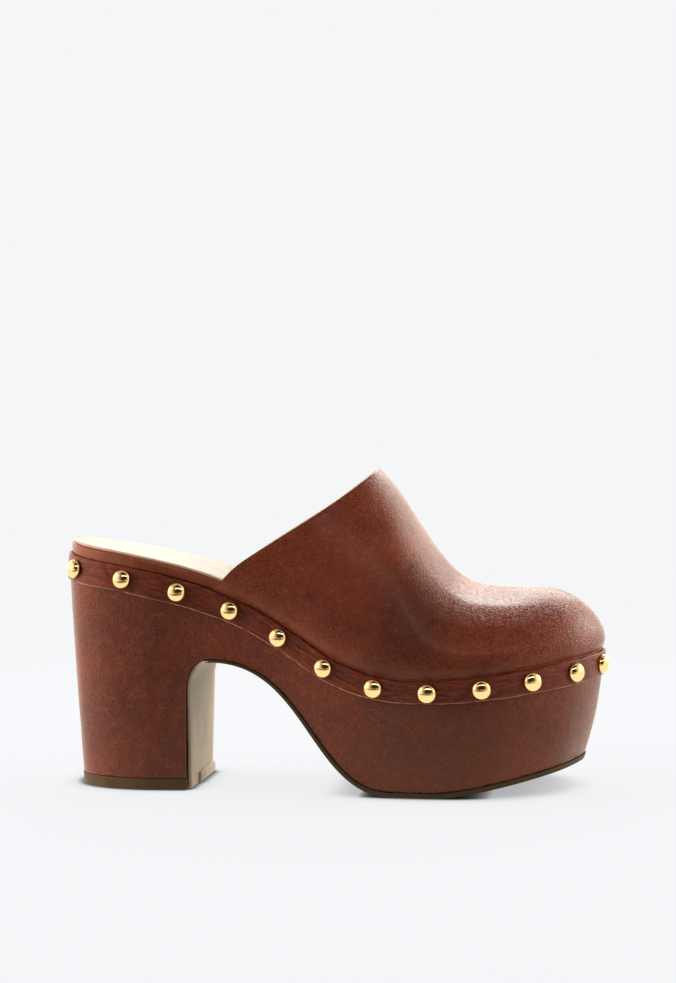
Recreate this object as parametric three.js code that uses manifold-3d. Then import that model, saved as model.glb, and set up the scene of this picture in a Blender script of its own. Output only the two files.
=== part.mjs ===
// Platform mule clog for the right foot, standing empty on its sole.
// Millimetres; +X points to the toe, +Y to the inner (big toe) side, +Z up, floor at z = 0.
// The platform and block heel are one leather-covered unit. A thin rubber outsole runs under
// the forefoot, up the arch and down the heel breast, and a rubber lift ends the heel. A flat
// leather band nailed with domed studs covers the joint between the unit and the upper.
import * as THREE from "three";
import { mergeVertices } from "three/addons/utils/BufferGeometryUtils.js";
import Module from "manifold-3d";

const wasm = await Module();
wasm.setup();

// Driving dimensions
const SHOE_LENGTH = 234.5; // platform, back of the heel to the toe
const BALL_WIDTH = 90; // platform, across the ball
const SEAT_HEIGHT = 99.5; // top of the platform at the back of the heel
const BALL_HEIGHT = 49.3; // top of the platform at the ball
const UPPER_HEIGHT = 89; // peak of the topline above the platform's top at the ball
const HEEL_BREAST = 59; // back of the heel to the top of the heel's front face
const BREAST_LEAN = 0.7; // how far that face leans back by the floor
const ARCH_HEIGHT = 55.5; // floor to the crown of the arch
const CROWN_REACH = 10; // heel breast to the crown of the arch
const TREAD_START = 147; // back of the heel to where the forefoot meets the floor
const TREAD_LENGTH = 18; // flat of the forefoot on the floor
const TOE_SPRING = 14; // floor to the underside at the toe
const END_DRAW = 6; // how far the heel's back wall leans in by the floor
const OUTSOLE_THICKNESS = 2.2;
const FLAP_THICKNESS = 1.2; // outsole on the heel breast
const OUTSOLE_LIP = 0.5; // outsole beyond the platform's wall
const FLAP_MARGIN = 1; // bare leather beside the outsole's flap on the heel breast
const LIFT_THICKNESS = 4.9;
const LUG_WIDTH = 24; // raised lug at the foot of the heel breast
const LUG_HEIGHT = 4.8;
const LUG_PROUD = 1;
const BAND_WIDTH = 10.2; // studded band, along its own face
const BAND_THICKNESS = 1;
const BAND_LIP = 0.6; // band above the platform's top, where the upper is tucked behind it
const STUDS_PER_SIDE = 12;
const STUD_DIAMETER = 7.8;
const STUD_CLEARANCE = 0.2; // behind a stud's flat back
const STUD_HEIGHT = 2.7;
const RIM_THICKNESS = 5.2; // covered insole board
const SOCK_THICKNESS = 1; // pale sock on the insole board
const SOCK_MARGIN = 0.5;
const UPPER_WALL = 1.9; // leather and lining
const BULGE_HEIGHT = 9; // platform's top to the fullest part of the swell
const UPPER_BULGE = 2; // how far the upper swells out over the band
const TOPLINE_TURN = THREE.MathUtils.degToRad(9); // topline further back on the inner side
const TOE_CAP_DEPTH = 27; // front of the upper to the top of its toe
const GAP = 0.3; // clearance between neighbouring pieces

// Plan outline of the platform's top: shares of SHOE_LENGTH and BALL_WIDTH
const OUTLINE = [
  { along: 0.022, lateral: 0.18, medial: 0.18 },
  { along: 0.075, lateral: 0.272, medial: 0.27 },
  { along: 0.16, lateral: 0.32, medial: 0.315 },
  { along: 0.27, lateral: 0.338, medial: 0.325 },
  { along: 0.41, lateral: 0.378, medial: 0.34 },
  { along: 0.54, lateral: 0.45, medial: 0.41 },
  { along: 0.67, lateral: 0.5, medial: 0.485 },
  { along: 0.79, lateral: 0.485, medial: 0.495 },
  { along: 0.885, lateral: 0.385, medial: 0.43 },
  { along: 0.957, lateral: 0.235, medial: 0.3 },
];
const TOE_TIP_ACROSS = 0.04; // the toe's foremost point towards the inner side

// Height of the platform's top edge: share of the drop from the seat to the ball. The band's
// width: share of BAND_WIDTH
const TOP_EDGE = [
  { along: 0, rise: 1.01, band: 1.1 },
  { along: 0.13, rise: 0.925, band: 1.08 },
  { along: 0.235, rise: 0.815, band: 1.05 },
  { along: 0.31, rise: 0.705, band: 1 },
  { along: 0.38, rise: 0.565, band: 0.96 },
  { along: 0.45, rise: 0.375, band: 0.96 },
  { along: 0.52, rise: 0.175, band: 0.96 },
  { along: 0.6, rise: 0.035, band: 0.93 },
  { along: 0.69, rise: 0, band: 0.92 },
  { along: 0.8, rise: 0.05, band: 0.96 },
  { along: 0.9, rise: 0.135, band: 1 },
  { along: 1, rise: 0.21, band: 1 },
];

// Lean of the platform's wall: shares of END_DRAW at the floor and at the top edge, and how
// late it turns in towards the floor
const WALL_LEAN = [
  { along: 0, draw: 1, bow: 1.3, cup: 0.2 },
  { along: 0.07, draw: 0.3, bow: 1.3, cup: 0.2 },
  { along: 0.15, draw: 0.05, bow: 1.3, cup: 0.18 },
  { along: 0.26, draw: 0.5, bow: 1.3, cup: 0.12 },
  { along: 0.45, draw: 0.7, bow: 1.5, cup: 0.05 },
  { along: 0.65, draw: 1.1, bow: 1.8, cup: 0 },
  { along: 0.88, draw: 1.5, bow: 2.4, cup: 0 },
  { along: 1, draw: 2.4, bow: 3, cup: 0 },
];

// Ridge of the upper: share of UPPER_HEIGHT above the platform's top at the ball
const RIDGE = [
  { along: 0.2, height: 1.7 },
  { along: 0.4, height: 1.38 },
  { along: 0.54, height: 1.085 },
  { along: 0.585, height: 1 },
  { along: 0.626, height: 0.878 },
  { along: 0.664, height: 0.722 },
  { along: 0.701, height: 0.58 },
  { along: 0.738, height: 0.478 },
  { along: 0.776, height: 0.43 },
  { along: 0.85, height: 0.412 },
  { along: 0.92, height: 0.414 },
];

// Topline of the upper, seen from the side: shares of SHOE_LENGTH and of UPPER_HEIGHT
const TOPLINE = [
  { along: 0.252, height: 0.36 },
  { along: 0.281, height: 0.44 },
  { along: 0.319, height: 0.54 },
  { along: 0.383, height: 0.65 },
  { along: 0.486, height: 0.82 },
  { along: 0.585, height: 1 },
];

// First and last stud of each side: shares of the band's way from the heel to the toe
const STUD_ROWS = [
  { side: "outer", first: 0.068, last: 0.971 },
  { side: "inner", first: 0.053, last: 0.943 },
];
const STUD_SPREAD = 0.023; // share by which the middle studs sit nearer the toe
const UPPER_START = 0.2; // share of the length, behind the topline, at which the upper's form starts
const TOE_BLEND = 5; // rounding of the ridge where it stops above the toe

// Mesh steps
const OUTLINE_STEPS = 84;
const WALL_STEPS = 8;
const EDGE_STEPS = 40;
const UPPER_STATIONS = 40;
const PROFILE_STEPS = 10;

/** Smooth value of a table's column, read at a share along the shoe. */
function column(rows, key, along) {
  const last = rows.length - 1;
  const at = Math.min(Math.max(along, rows[0].along), rows[last].along);
  let i = 0;
  while (i < last - 1 && rows[i + 1].along < at) i++;
  const slope = (k) => {
    const a = rows[Math.max(k - 1, 0)];
    const b = rows[Math.min(k + 1, last)];
    return (b[key] - a[key]) / (b.along - a.along);
  };
  const span = rows[i + 1].along - rows[i].along;
  const t = (at - rows[i].along) / span;
  const rest = 1 - t;
  return (
    rows[i][key] * (1 + 2 * t) * rest * rest +
    rows[i + 1][key] * (3 - 2 * t) * t * t +
    span * t * rest * (slope(i) * rest - slope(i + 1) * t)
  );
}

/** Height of the platform's top edge at a distance from the back of the heel. */
function topEdge(x) {
  const rise = column(TOP_EDGE, "rise", x / SHOE_LENGTH);
  return BALL_HEIGHT + (SEAT_HEIGHT - BALL_HEIGHT) * rise;
}

/** Closed curve of the platform's plan outline, from the heel along the outer side. */
function outlineCurve() {
  const point = (along, across) =>
    new THREE.Vector3(along * SHOE_LENGTH, across * BALL_WIDTH, 0);
  const outer = OUTLINE.map((row) => point(row.along, -row.lateral));
  const inner = OUTLINE.map((row) => point(row.along, row.medial)).reverse();
  const points = [point(0, 0), ...outer, point(1, TOE_TIP_ACROSS), ...inner];
  const curve = new THREE.CatmullRomCurve3(points, true, "centripetal");
  curve.arcLengthDivisions = 2000;
  return curve;
}
const outline = outlineCurve();

/** Point of the plan outline and its outward direction, at a share of its length. */
function outlineAt(share) {
  const point = outline.getPointAt(share % 1);
  const tangent = outline.getTangentAt(share % 1);
  return { x: point.x, y: point.y, nx: tangent.y, ny: -tangent.x };
}
const outlineRing = Array.from({ length: OUTLINE_STEPS }, (_, i) => outlineAt(i / OUTLINE_STEPS));

/** Share between low and high at which holds turns from true to false. */
function turningShare(low, high, holds) {
  for (let i = 0; i < 60; i++) {
    const middle = (low + high) / 2;
    if (holds(middle)) low = middle;
    else high = middle;
  }
  return (low + high) / 2;
}
const toeTip = turningShare(0.4, 0.6, (share) => outline.getTangentAt(share).x > 0);

/** Outline point at a distance from the heel, on the outer (0) or inner (1) side. */
function outlineAtX(x, side) {
  const before = (share) => outline.getPointAt(share).x < x;
  if (side === 0) return outlineAt(turningShare(0, toeTip, before));
  return outlineAt(turningShare(toeTip, 1, (share) => !before(share)));
}

/** Point of the platform's wall under an outline point, moved outwards by out. */
function wallPoint(at, z, out = 0) {
  const along = at.x / SHOE_LENGTH;
  const top = topEdge(at.x);
  const depth = Math.min(Math.max(1 - z / top, 0), 1);
  const draw = column(WALL_LEAN, "draw", along) * Math.pow(depth, column(WALL_LEAN, "bow", along));
  const rise = Math.min(Math.max(1 - (top - z) / BAND_WIDTH, 0), 1);
  const cup = column(WALL_LEAN, "cup", along) * rise;
  const inset = END_DRAW * (draw + cup) - out;
  return new THREE.Vector3(at.x - at.nx * inset, at.y - at.ny * inset, z);
}

/** Solid from a list of triangles. */
function solidOf(geometry) {
  const bare = new THREE.BufferGeometry();
  bare.setAttribute("position", geometry.getAttribute("position"));
  if (geometry.index) bare.setIndex(geometry.index);
  const merged = mergeVertices(bare, 1e-4);
  return new wasm.Manifold(
    new wasm.Mesh({
      numProp: 3,
      vertProperties: merged.attributes.position.array,
      triVerts: new Uint32Array(merged.index.array),
    }),
  );
}

/** Geometry of a solid. */
function geometryOf(solid) {
  const mesh = solid.getMesh();
  const geometry = new THREE.BufferGeometry();
  geometry.setAttribute("position", new THREE.BufferAttribute(mesh.vertProperties, 3));
  geometry.setIndex(new THREE.BufferAttribute(mesh.triVerts, 1));
  geometry.computeVertexNormals();
  return geometry;
}

/** Geometry through rows of points of one length. wrap joins the last row to the first. */
function skin(rows, { wrap = false, caps = true } = {}) {
  const count = rows[0].length;
  const positions = rows.flat().flatMap((p) => [p.x, p.y, p.z]);
  const index = [];
  const bands = wrap ? rows.length : rows.length - 1;
  for (let i = 0; i < bands; i++) {
    const a = i * count;
    const b = ((i + 1) % rows.length) * count;
    for (let j = 0; j < count; j++) {
      const k = (j + 1) % count;
      index.push(a + j, a + k, b + k, a + j, b + k, b + j);
    }
  }
  const cap = (row, flip) => {
    const middle = row.reduce((sum, p) => sum.add(p), new THREE.Vector3());
    middle.divideScalar(count);
    const centre = positions.length / 3;
    positions.push(middle.x, middle.y, middle.z);
    const first = flip ? 0 : (rows.length - 1) * count;
    for (let j = 0; j < count; j++) {
      const k = (j + 1) % count;
      if (flip) index.push(centre, first + k, first + j);
      else index.push(centre, first + j, first + k);
    }
  };
  if (caps && !wrap) {
    cap(rows[0], true);
    cap(rows.at(-1), false);
  }
  const geometry = new THREE.BufferGeometry();
  geometry.setAttribute("position", new THREE.Float32BufferAttribute(positions, 3));
  geometry.setIndex(index);
  return geometry;
}

/** Prism across the whole shoe from a closed side view of points {x, z}. */
function sidePrism(points, turn = 0) {
  const shape = new THREE.Shape(points.map((p) => new THREE.Vector2(p.x, p.z)));
  const depth = 2 * BALL_WIDTH;
  const geometry = new THREE.ExtrudeGeometry(shape, { depth, bevelEnabled: false });
  geometry.translate(0, 0, -depth / 2);
  geometry.rotateX(Math.PI / 2);
  geometry.rotateZ(turn);
  return solidOf(geometry);
}

/** Platform's walls from the floor to above the insole, moved outwards by out(x). */
function walls(out) {
  const rows = [];
  const row = (height) => {
    rows.push(outlineRing.map((at) => wallPoint(at, height(topEdge(at.x)), out(at.x))));
  };
  for (let i = 0; i <= WALL_STEPS; i++) row((top) => (top - BAND_WIDTH) * (i / WALL_STEPS));
  row((top) => top);
  row((top) => top + 2 * RIM_THICKNESS);
  return solidOf(skin(rows));
}

/** Side view of the layer that starts low and ends high above the platform's top edge. */
function layerOverTop(low, high) {
  const xs = Array.from(
    { length: EDGE_STEPS + 1 },
    (_, i) => (SHOE_LENGTH + 4) * (i / EDGE_STEPS) - 2,
  );
  const under = xs.map((x) => ({ x, z: topEdge(x) + low }));
  const over = xs.map((x) => ({ x, z: topEdge(x) + high })).reverse();
  return [...under, ...over];
}

/** Underside of the shoe in side view, from the lift's top up the breast and on to the toe. */
function underside() {
  const flat = (x, z) => new THREE.Vector2(x, z);
  const foot = HEEL_BREAST - BREAST_LEAN;
  const crown = HEEL_BREAST + CROWN_REACH;
  const treadEnd = TREAD_START + TREAD_LENGTH;
  const arch = TREAD_START - crown;
  const toe = SHOE_LENGTH - treadEnd;
  const hollow = 1.25 * CROWN_REACH;
  const path = [
    new THREE.LineCurve(flat(foot, LIFT_THICKNESS + GAP), flat(HEEL_BREAST, ARCH_HEIGHT - hollow)),
    new THREE.CubicBezierCurve(
      flat(HEEL_BREAST, ARCH_HEIGHT - hollow),
      flat(HEEL_BREAST, ARCH_HEIGHT - 0.35 * hollow),
      flat(crown - 0.6 * CROWN_REACH, ARCH_HEIGHT),
      flat(crown, ARCH_HEIGHT),
    ),
    new THREE.CubicBezierCurve(
      flat(crown, ARCH_HEIGHT),
      flat(crown + 0.54 * arch, ARCH_HEIGHT),
      flat(crown + 0.56 * arch, 0),
      flat(TREAD_START, 0),
    ),
    new THREE.LineCurve(flat(TREAD_START, 0), flat(treadEnd, 0)),
    new THREE.CubicBezierCurve(
      flat(treadEnd, 0),
      flat(treadEnd + 0.15 * toe, 0),
      flat(treadEnd + 0.58 * toe, 0.52 * TOE_SPRING),
      flat(SHOE_LENGTH + 2, 1.02 * TOE_SPRING),
    ),
  ];
  const steps = [1, 6, 14, 1, 9];
  const points = path.flatMap((curve, i) => curve.getPoints(steps[i]).slice(i ? 1 : 0));
  return points;
}

/** The underside moved into the shoe by the outsole's thickness and a clearance. */
function undersideAbove(clearance) {
  const points = underside();
  return points.map((p, i) => {
    const before = points[Math.max(i - 1, 0)];
    const after = points[Math.min(i + 1, points.length - 1)];
    const along = after.clone().sub(before).normalize();
    const forward = Math.min(Math.max((p.x - HEEL_BREAST) / (TREAD_START - HEEL_BREAST), 0), 1);
    const thickness = FLAP_THICKNESS + (OUTSOLE_THICKNESS - FLAP_THICKNESS) * forward * forward;
    const depth = thickness + clearance;
    return { x: p.x - along.y * depth, z: p.y + along.x * depth };
  });
}

/** Leather-covered platform and block heel. */
function platformSolid() {
  const under = undersideAbove(GAP);
  under[0].z = LIFT_THICKNESS + GAP;
  const top = Array.from({ length: EDGE_STEPS + 1 }, (_, i) => {
    const x = (SHOE_LENGTH + 4) * (1 - i / EDGE_STEPS) - 2;
    return { x, z: topEdge(x) };
  });
  const side = [...under, ...top, { x: -2, z: LIFT_THICKNESS + GAP }];
  return walls(() => 0).intersect(sidePrism(side));
}

/** Thin rubber outsole with its flap on the heel breast. */
function outsoleSolid() {
  const lip = (x) => {
    const flap = Math.min(Math.max((HEEL_BREAST + CROWN_REACH - x) / CROWN_REACH, 0), 1);
    return OUTSOLE_LIP - (OUTSOLE_LIP + FLAP_MARGIN) * flap;
  };
  const outer = underside().map((p) => ({ x: p.x, z: p.y }));
  const inner = undersideAbove(0).reverse();
  inner.at(-1).z = LIFT_THICKNESS + GAP;
  return walls(lip).intersect(sidePrism([...outer, ...inner]));
}

/** Rubber lift under the heel, with the lug at the foot of the breast. */
function liftSolid() {
  const front = HEEL_BREAST - BREAST_LEAN;
  const side = [
    { x: -2, z: 0 },
    { x: front, z: 0 },
    { x: front, z: LIFT_THICKNESS },
    { x: -2, z: LIFT_THICKNESS },
  ];
  const block = walls(() => 0.2).intersect(sidePrism(side));
  const lug = new THREE.BoxGeometry(2 * LUG_PROUD, LUG_WIDTH, LUG_HEIGHT);
  lug.translate(front, LUG_WIDTH / 2, LUG_HEIGHT / 2);
  return block.add(solidOf(lug));
}

/** Heights of the band's edges and middle line over the floor at an outline point. */
function bandSpan(at) {
  const step = 0.5;
  const slope = (topEdge(at.x + step) - topEdge(at.x - step)) / (2 * step);
  const run = slope * Math.abs(at.ny);
  const width = BAND_WIDTH * column(TOP_EDGE, "band", at.x / SHOE_LENGTH);
  const tall = width * Math.sqrt(1 + run * run);
  const high = topEdge(at.x) + BAND_LIP;
  return { high, low: high - tall, middle: high - tall / 2 };
}

/** Flat leather band around the platform's top edge. */
function bandSolid() {
  const soft = 0.35;
  const rows = outlineRing.map((at) => {
    const { high, low } = bandSpan(at);
    const inner = GAP;
    const outer = GAP + BAND_THICKNESS;
    return [
      wallPoint(at, high, inner),
      wallPoint(at, high, outer - soft),
      wallPoint(at, high - soft, outer),
      wallPoint(at, low + soft, outer),
      wallPoint(at, low, outer - soft),
      wallPoint(at, low, inner),
    ];
  });
  return solidOf(skin(rows, { wrap: true }));
}

/** Domed stud along +Z, its flat back at the origin. */
function studGeometry() {
  const radius = STUD_DIAMETER / 2;
  const rings = 3;
  const skirt = 0.5;
  const profile = [new THREE.Vector2(0, 0), new THREE.Vector2(radius, 0)];
  for (let i = 0; i < rings; i++) {
    const turn = (i / rings) * (Math.PI / 2);
    profile.push(
      new THREE.Vector2(radius * Math.cos(turn), skirt + (STUD_HEIGHT - skirt) * Math.sin(turn)),
    );
  }
  profile.push(new THREE.Vector2(0, STUD_HEIGHT));
  const dome = new THREE.LatheGeometry(profile, 10);
  dome.rotateX(Math.PI / 2);
  return dome;
}

/** How far the upper swells out at a height over the platform's top. */
function upperSwell(high) {
  const share = Math.max(high - 2 * BAND_LIP, 0) / BULGE_HEIGHT;
  return UPPER_BULGE * share * Math.exp(1 - share);
}

/** One arch of the upper from the outer side over the ridge to the inner side. */
function upperArch({ lateral, medial, ridge, drop }, inset) {
  const half = (at) => {
    const foot = wallPoint(at, topEdge(at.x), -inset);
    const points = [new THREE.Vector3(foot.x, foot.y, foot.z - 2 * UPPER_WALL)];
    for (let i = 0; i <= PROFILE_STEPS; i++) {
      const turn = Math.pow(i / PROFILE_STEPS, 1.35) * (Math.PI / 2);
      const over = 1 - Math.cos(turn);
      const up = Math.sin(turn);
      const high = (ridge.z - drop * inset - foot.z) * up;
      const swell = upperSwell(high);
      points.push(
        new THREE.Vector3(
          foot.x + (ridge.x - foot.x) * over + at.nx * swell,
          foot.y + (ridge.y - foot.y) * over + at.ny * swell,
          foot.z + high,
        ),
      );
    }
    return points;
  };
  return [...half(lateral), ...half(medial).reverse().slice(1)];
}

/** Stations of the upper from behind the topline to the toe. */
function upperStations() {
  const start = UPPER_START * SHOE_LENGTH;
  const reach = SHOE_LENGTH - TOE_CAP_DEPTH;
  const stations = [];
  for (let i = 0; i <= UPPER_STATIONS; i++) {
    const t = Math.sin((i / UPPER_STATIONS) * (Math.PI / 2));
    const x = start + (SHOE_LENGTH - start) * t;
    const atTip = i === UPPER_STATIONS;
    const lateral = atTip ? outlineAt(toeTip) : outlineAtX(x, 0);
    const medial = atTip ? lateral : outlineAtX(x, 1);
    const ridgeX = x - TOE_BLEND * Math.log(1 + Math.exp((x - reach) / TOE_BLEND));
    const along = ridgeX / SHOE_LENGTH;
    const z = ridgeHeight(along);
    const slope = (ridgeHeight(along + 0.002) - z) / (0.002 * SHOE_LENGTH);
    stations.push({
      lateral,
      medial,
      ridge: new THREE.Vector3(ridgeX, BALL_WIDTH * TOE_TIP_ACROSS, z),
      drop: Math.sqrt(1 + slope * slope),
    });
  }
  return stations;
}

/** Height of the upper's ridge over the floor at a share along the shoe. */
function ridgeHeight(along) {
  return BALL_HEIGHT + UPPER_HEIGHT * column(RIDGE, "height", along);
}

/** Hollow upper, open underneath and behind its topline. */
function upperSolid() {
  const stations = upperStations();
  const form = (inset) => solidOf(skin(stations.map((s) => upperArch(s, inset)).reverse()));
  const floor = sidePrism(layerOverTop(-BALL_HEIGHT, GAP));
  const topline = TOPLINE.map((row) => ({
    x: row.along * SHOE_LENGTH,
    z: BALL_HEIGHT + UPPER_HEIGHT * row.height,
  }));
  const sky = 2 * UPPER_HEIGHT;
  const ahead = topline.at(-1).x + UPPER_HEIGHT;
  const behind = [
    { x: -END_DRAW, z: 0 },
    { x: topline[0].x, z: 0 },
    ...topline,
    { x: ahead, z: topline.at(-1).z + 0.8 * UPPER_HEIGHT },
    { x: ahead, z: BALL_HEIGHT + sky },
    { x: -END_DRAW, z: BALL_HEIGHT + sky },
  ];
  const shell = form(0).subtract(form(UPPER_WALL));
  return shell.subtract(floor).subtract(sidePrism(behind, TOPLINE_TURN));
}

/** How far the insole reaches beyond the platform's wall; under the upper it stays inside it. */
function insoleReach(x) {
  const covered = Math.min(Math.max((x / SHOE_LENGTH - 0.15) / 0.08, 0), 1);
  return -(UPPER_WALL + GAP) * covered;
}

/** Leather-covered insole board. */
function boardSolid() {
  return walls(insoleReach).intersect(sidePrism(layerOverTop(GAP, GAP + RIM_THICKNESS)));
}

/** Sock on the insole board. */
function sockSolid() {
  const low = 2 * GAP + RIM_THICKNESS;
  const layer = sidePrism(layerOverTop(low, low + SOCK_THICKNESS));
  return walls((x) => insoleReach(x) - SOCK_MARGIN).intersect(layer);
}

/** Places of one side's studs along the band, from the heel, as outline points. */
function studPlaces({ side, first, last }) {
  const line = new THREE.CatmullRomCurve3(
    outlineRing.map((at) => wallPoint(at, bandSpan(at).middle)),
    true,
  );
  const steps = 2000;
  line.arcLengthDivisions = steps;
  const lengths = line.getLengths();
  const toeShare = lengths[Math.round(toeTip * steps)] / lengths[steps];
  return Array.from({ length: STUDS_PER_SIDE }, (_, i) => {
    const step = i / (STUDS_PER_SIDE - 1);
    const place = first + (last - first) * step + STUD_SPREAD * Math.sin(Math.PI * step);
    const share = side === "outer" ? place * toeShare : 1 - place * (1 - toeShare);
    return outlineAt(line.getUtoTmapping(share));
  });
}

/** Stands a stud on the band's face at an outline point. */
function seatStud(stud, at) {
  const { low, high } = bandSpan(at);
  const face = GAP + BAND_THICKNESS;
  const foot = wallPoint(at, low, face);
  const head = wallPoint(at, high, face);
  const rise = head.clone().sub(foot).normalize();
  const outwards = new THREE.Vector3(at.nx, at.ny, 0).projectOnPlane(rise).normalize();
  stud.position.copy(foot).lerp(head, 0.5).addScaledVector(outwards, STUD_CLEARANCE);
  stud.quaternion.setFromUnitVectors(new THREE.Vector3(0, 0, 1), outwards);
}

const leather = new THREE.MeshStandardMaterial({ color: "#6e2f1f", roughness: 0.45 });
const wrap = new THREE.MeshStandardMaterial({ color: "#5c2b20", roughness: 0.5 });
const rubber = new THREE.MeshStandardMaterial({ color: "#5b4a35", roughness: 0.7 });
const pale = new THREE.MeshStandardMaterial({ color: "#efe9d8", roughness: 0.7 });
const gold = new THREE.MeshStandardMaterial({ color: "#d9a93a", roughness: 0.15, metalness: 1 });

const shoe = new THREE.Group();

/** Adds a named piece to the shoe. */
function add(name, geometry, material) {
  const piece = new THREE.Mesh(geometry, material);
  piece.name = name;
  shoe.add(piece);
  return piece;
}

add("platform", geometryOf(platformSolid()), wrap);
add("outsole", geometryOf(outsoleSolid()), rubber);
add("heel_lift", geometryOf(liftSolid()), rubber);
add("band", geometryOf(bandSolid()), wrap);
add("upper", geometryOf(upperSolid()), leather);
add("insole_board", geometryOf(boardSolid()), wrap);
add("insole_sock", geometryOf(sockSolid()), pale);

// Studs numbered from the heel along the outer side, then from the heel along the inner side
STUD_ROWS.flatMap(studPlaces).forEach((at, i) => {
  const number = String(i + 1).padStart(2, "0");
  seatStud(add("stud_" + number, studGeometry(), gold), at);
});

// Origin on the floor under the middle of the shoe
const extent = new THREE.Box3().setFromObject(shoe, true);
const centre = extent.getCenter(new THREE.Vector3()).setZ(extent.min.z);
shoe.children.forEach((piece) => piece.position.sub(centre));

export default shoe;
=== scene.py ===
"""Platform mule clog for the right foot: its finished look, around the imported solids.

The shoe stands empty on a pale studio floor. +X points to the toe, +Y to the inner (big toe)
side and +Z up. Every class works in millimetres from the back of the heel, and Last moves the
finished meshes into the frame, in metres.
"""

import logging
import math
from bisect import bisect
from dataclasses import dataclass, field
from enum import Enum
from typing import Any, Callable, NamedTuple, Optional, Sequence

import bmesh
import bpy
import numpy as np
from mathutils import Matrix, Vector, noise
from mathutils.geometry import interpolate_bezier

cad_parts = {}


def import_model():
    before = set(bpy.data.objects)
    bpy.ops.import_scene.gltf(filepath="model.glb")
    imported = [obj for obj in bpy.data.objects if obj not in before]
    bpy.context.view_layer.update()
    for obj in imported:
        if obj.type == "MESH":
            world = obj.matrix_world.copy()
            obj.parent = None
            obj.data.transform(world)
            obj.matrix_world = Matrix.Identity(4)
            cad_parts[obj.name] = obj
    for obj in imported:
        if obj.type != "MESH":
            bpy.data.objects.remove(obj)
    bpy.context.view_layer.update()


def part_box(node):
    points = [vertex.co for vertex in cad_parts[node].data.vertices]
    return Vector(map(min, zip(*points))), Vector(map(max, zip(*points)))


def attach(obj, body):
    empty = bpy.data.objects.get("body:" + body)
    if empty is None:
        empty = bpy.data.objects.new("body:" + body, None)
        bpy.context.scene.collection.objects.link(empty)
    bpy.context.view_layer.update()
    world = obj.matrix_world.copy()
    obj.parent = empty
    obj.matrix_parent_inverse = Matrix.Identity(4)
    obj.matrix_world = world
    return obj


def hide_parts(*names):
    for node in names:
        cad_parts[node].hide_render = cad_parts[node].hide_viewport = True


LOG = logging.getLogger("clog")
MM = 0.001  # metres in a millimetre
BODY = "root"
TOUCHING = 0.002  # points of a mesh nearer than this, in mm, are one
SHARP = 50  # degrees by which an edge turns if it gets rounded


class Side(Enum):
    """Side of the foot, as the sign of Y."""

    OUTER = -1
    INNER = 1


class OutlineRow(NamedTuple):
    """Plan outline: share of the length, and shares of the ball width to each side."""

    along: float
    lateral: float
    medial: float


class EdgeRow(NamedTuple):
    """Top edge of the platform: share of the drop from seat to ball, and of the band's width."""

    along: float
    rise: float
    band: float


class LeanRow(NamedTuple):
    """Lean of the platform's wall, in shares of the end draw, and how late it turns in."""

    along: float
    draw: float
    bow: float
    cup: float


class HeightRow(NamedTuple):
    """Height of the upper's ridge, in shares of the upper's height."""

    along: float
    height: float


OUTLINE = (
    OutlineRow(0.022, 0.18, 0.18),
    OutlineRow(0.075, 0.272, 0.27),
    OutlineRow(0.16, 0.32, 0.315),
    OutlineRow(0.27, 0.338, 0.325),
    OutlineRow(0.41, 0.378, 0.34),
    OutlineRow(0.54, 0.45, 0.41),
    OutlineRow(0.67, 0.5, 0.485),
    OutlineRow(0.79, 0.485, 0.495),
    OutlineRow(0.885, 0.385, 0.43),
    OutlineRow(0.957, 0.235, 0.3),
)
TOP_EDGE = (
    EdgeRow(0, 1.034, 1.12),
    EdgeRow(0.05, 0.986, 1.1),
    EdgeRow(0.13, 0.925, 1.08),
    EdgeRow(0.235, 0.815, 1.05),
    EdgeRow(0.31, 0.705, 1),
    EdgeRow(0.38, 0.565, 0.96),
    EdgeRow(0.45, 0.375, 0.96),
    EdgeRow(0.52, 0.175, 0.96),
    EdgeRow(0.6, 0.035, 0.93),
    EdgeRow(0.69, 0, 0.92),
    EdgeRow(0.8, 0.043, 0.97),
    EdgeRow(0.9, 0.114, 1.03),
    EdgeRow(1, 0.188, 1.06),
)
WALL_LEAN = (
    LeanRow(0, 1, 1.3, 0.2),
    LeanRow(0.07, 0.3, 1.3, 0.2),
    LeanRow(0.15, 0.05, 1.3, 0.18),
    LeanRow(0.26, 0.5, 1.3, 0.12),
    LeanRow(0.45, 0.7, 1.5, 0.05),
    LeanRow(0.65, 1.1, 1.8, 0),
    LeanRow(0.88, 1.5, 2.4, 0),
    LeanRow(1, 2.2, 1.9, 0),
)
RIDGE = (
    HeightRow(0.2, 1.7),
    HeightRow(0.4, 1.38),
    HeightRow(0.54, 1.085),
    HeightRow(0.585, 1),
    HeightRow(0.626, 0.878),
    HeightRow(0.664, 0.722),
    HeightRow(0.701, 0.58),
    HeightRow(0.738, 0.478),
    HeightRow(0.776, 0.43),
    HeightRow(0.85, 0.412),
    HeightRow(0.92, 0.414),
)
TOPLINE = (
    HeightRow(0.252, 0.36),
    HeightRow(0.281, 0.44),
    HeightRow(0.319, 0.54),
    HeightRow(0.383, 0.65),
    HeightRow(0.486, 0.82),
    HeightRow(0.585, 1),
)


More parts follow.
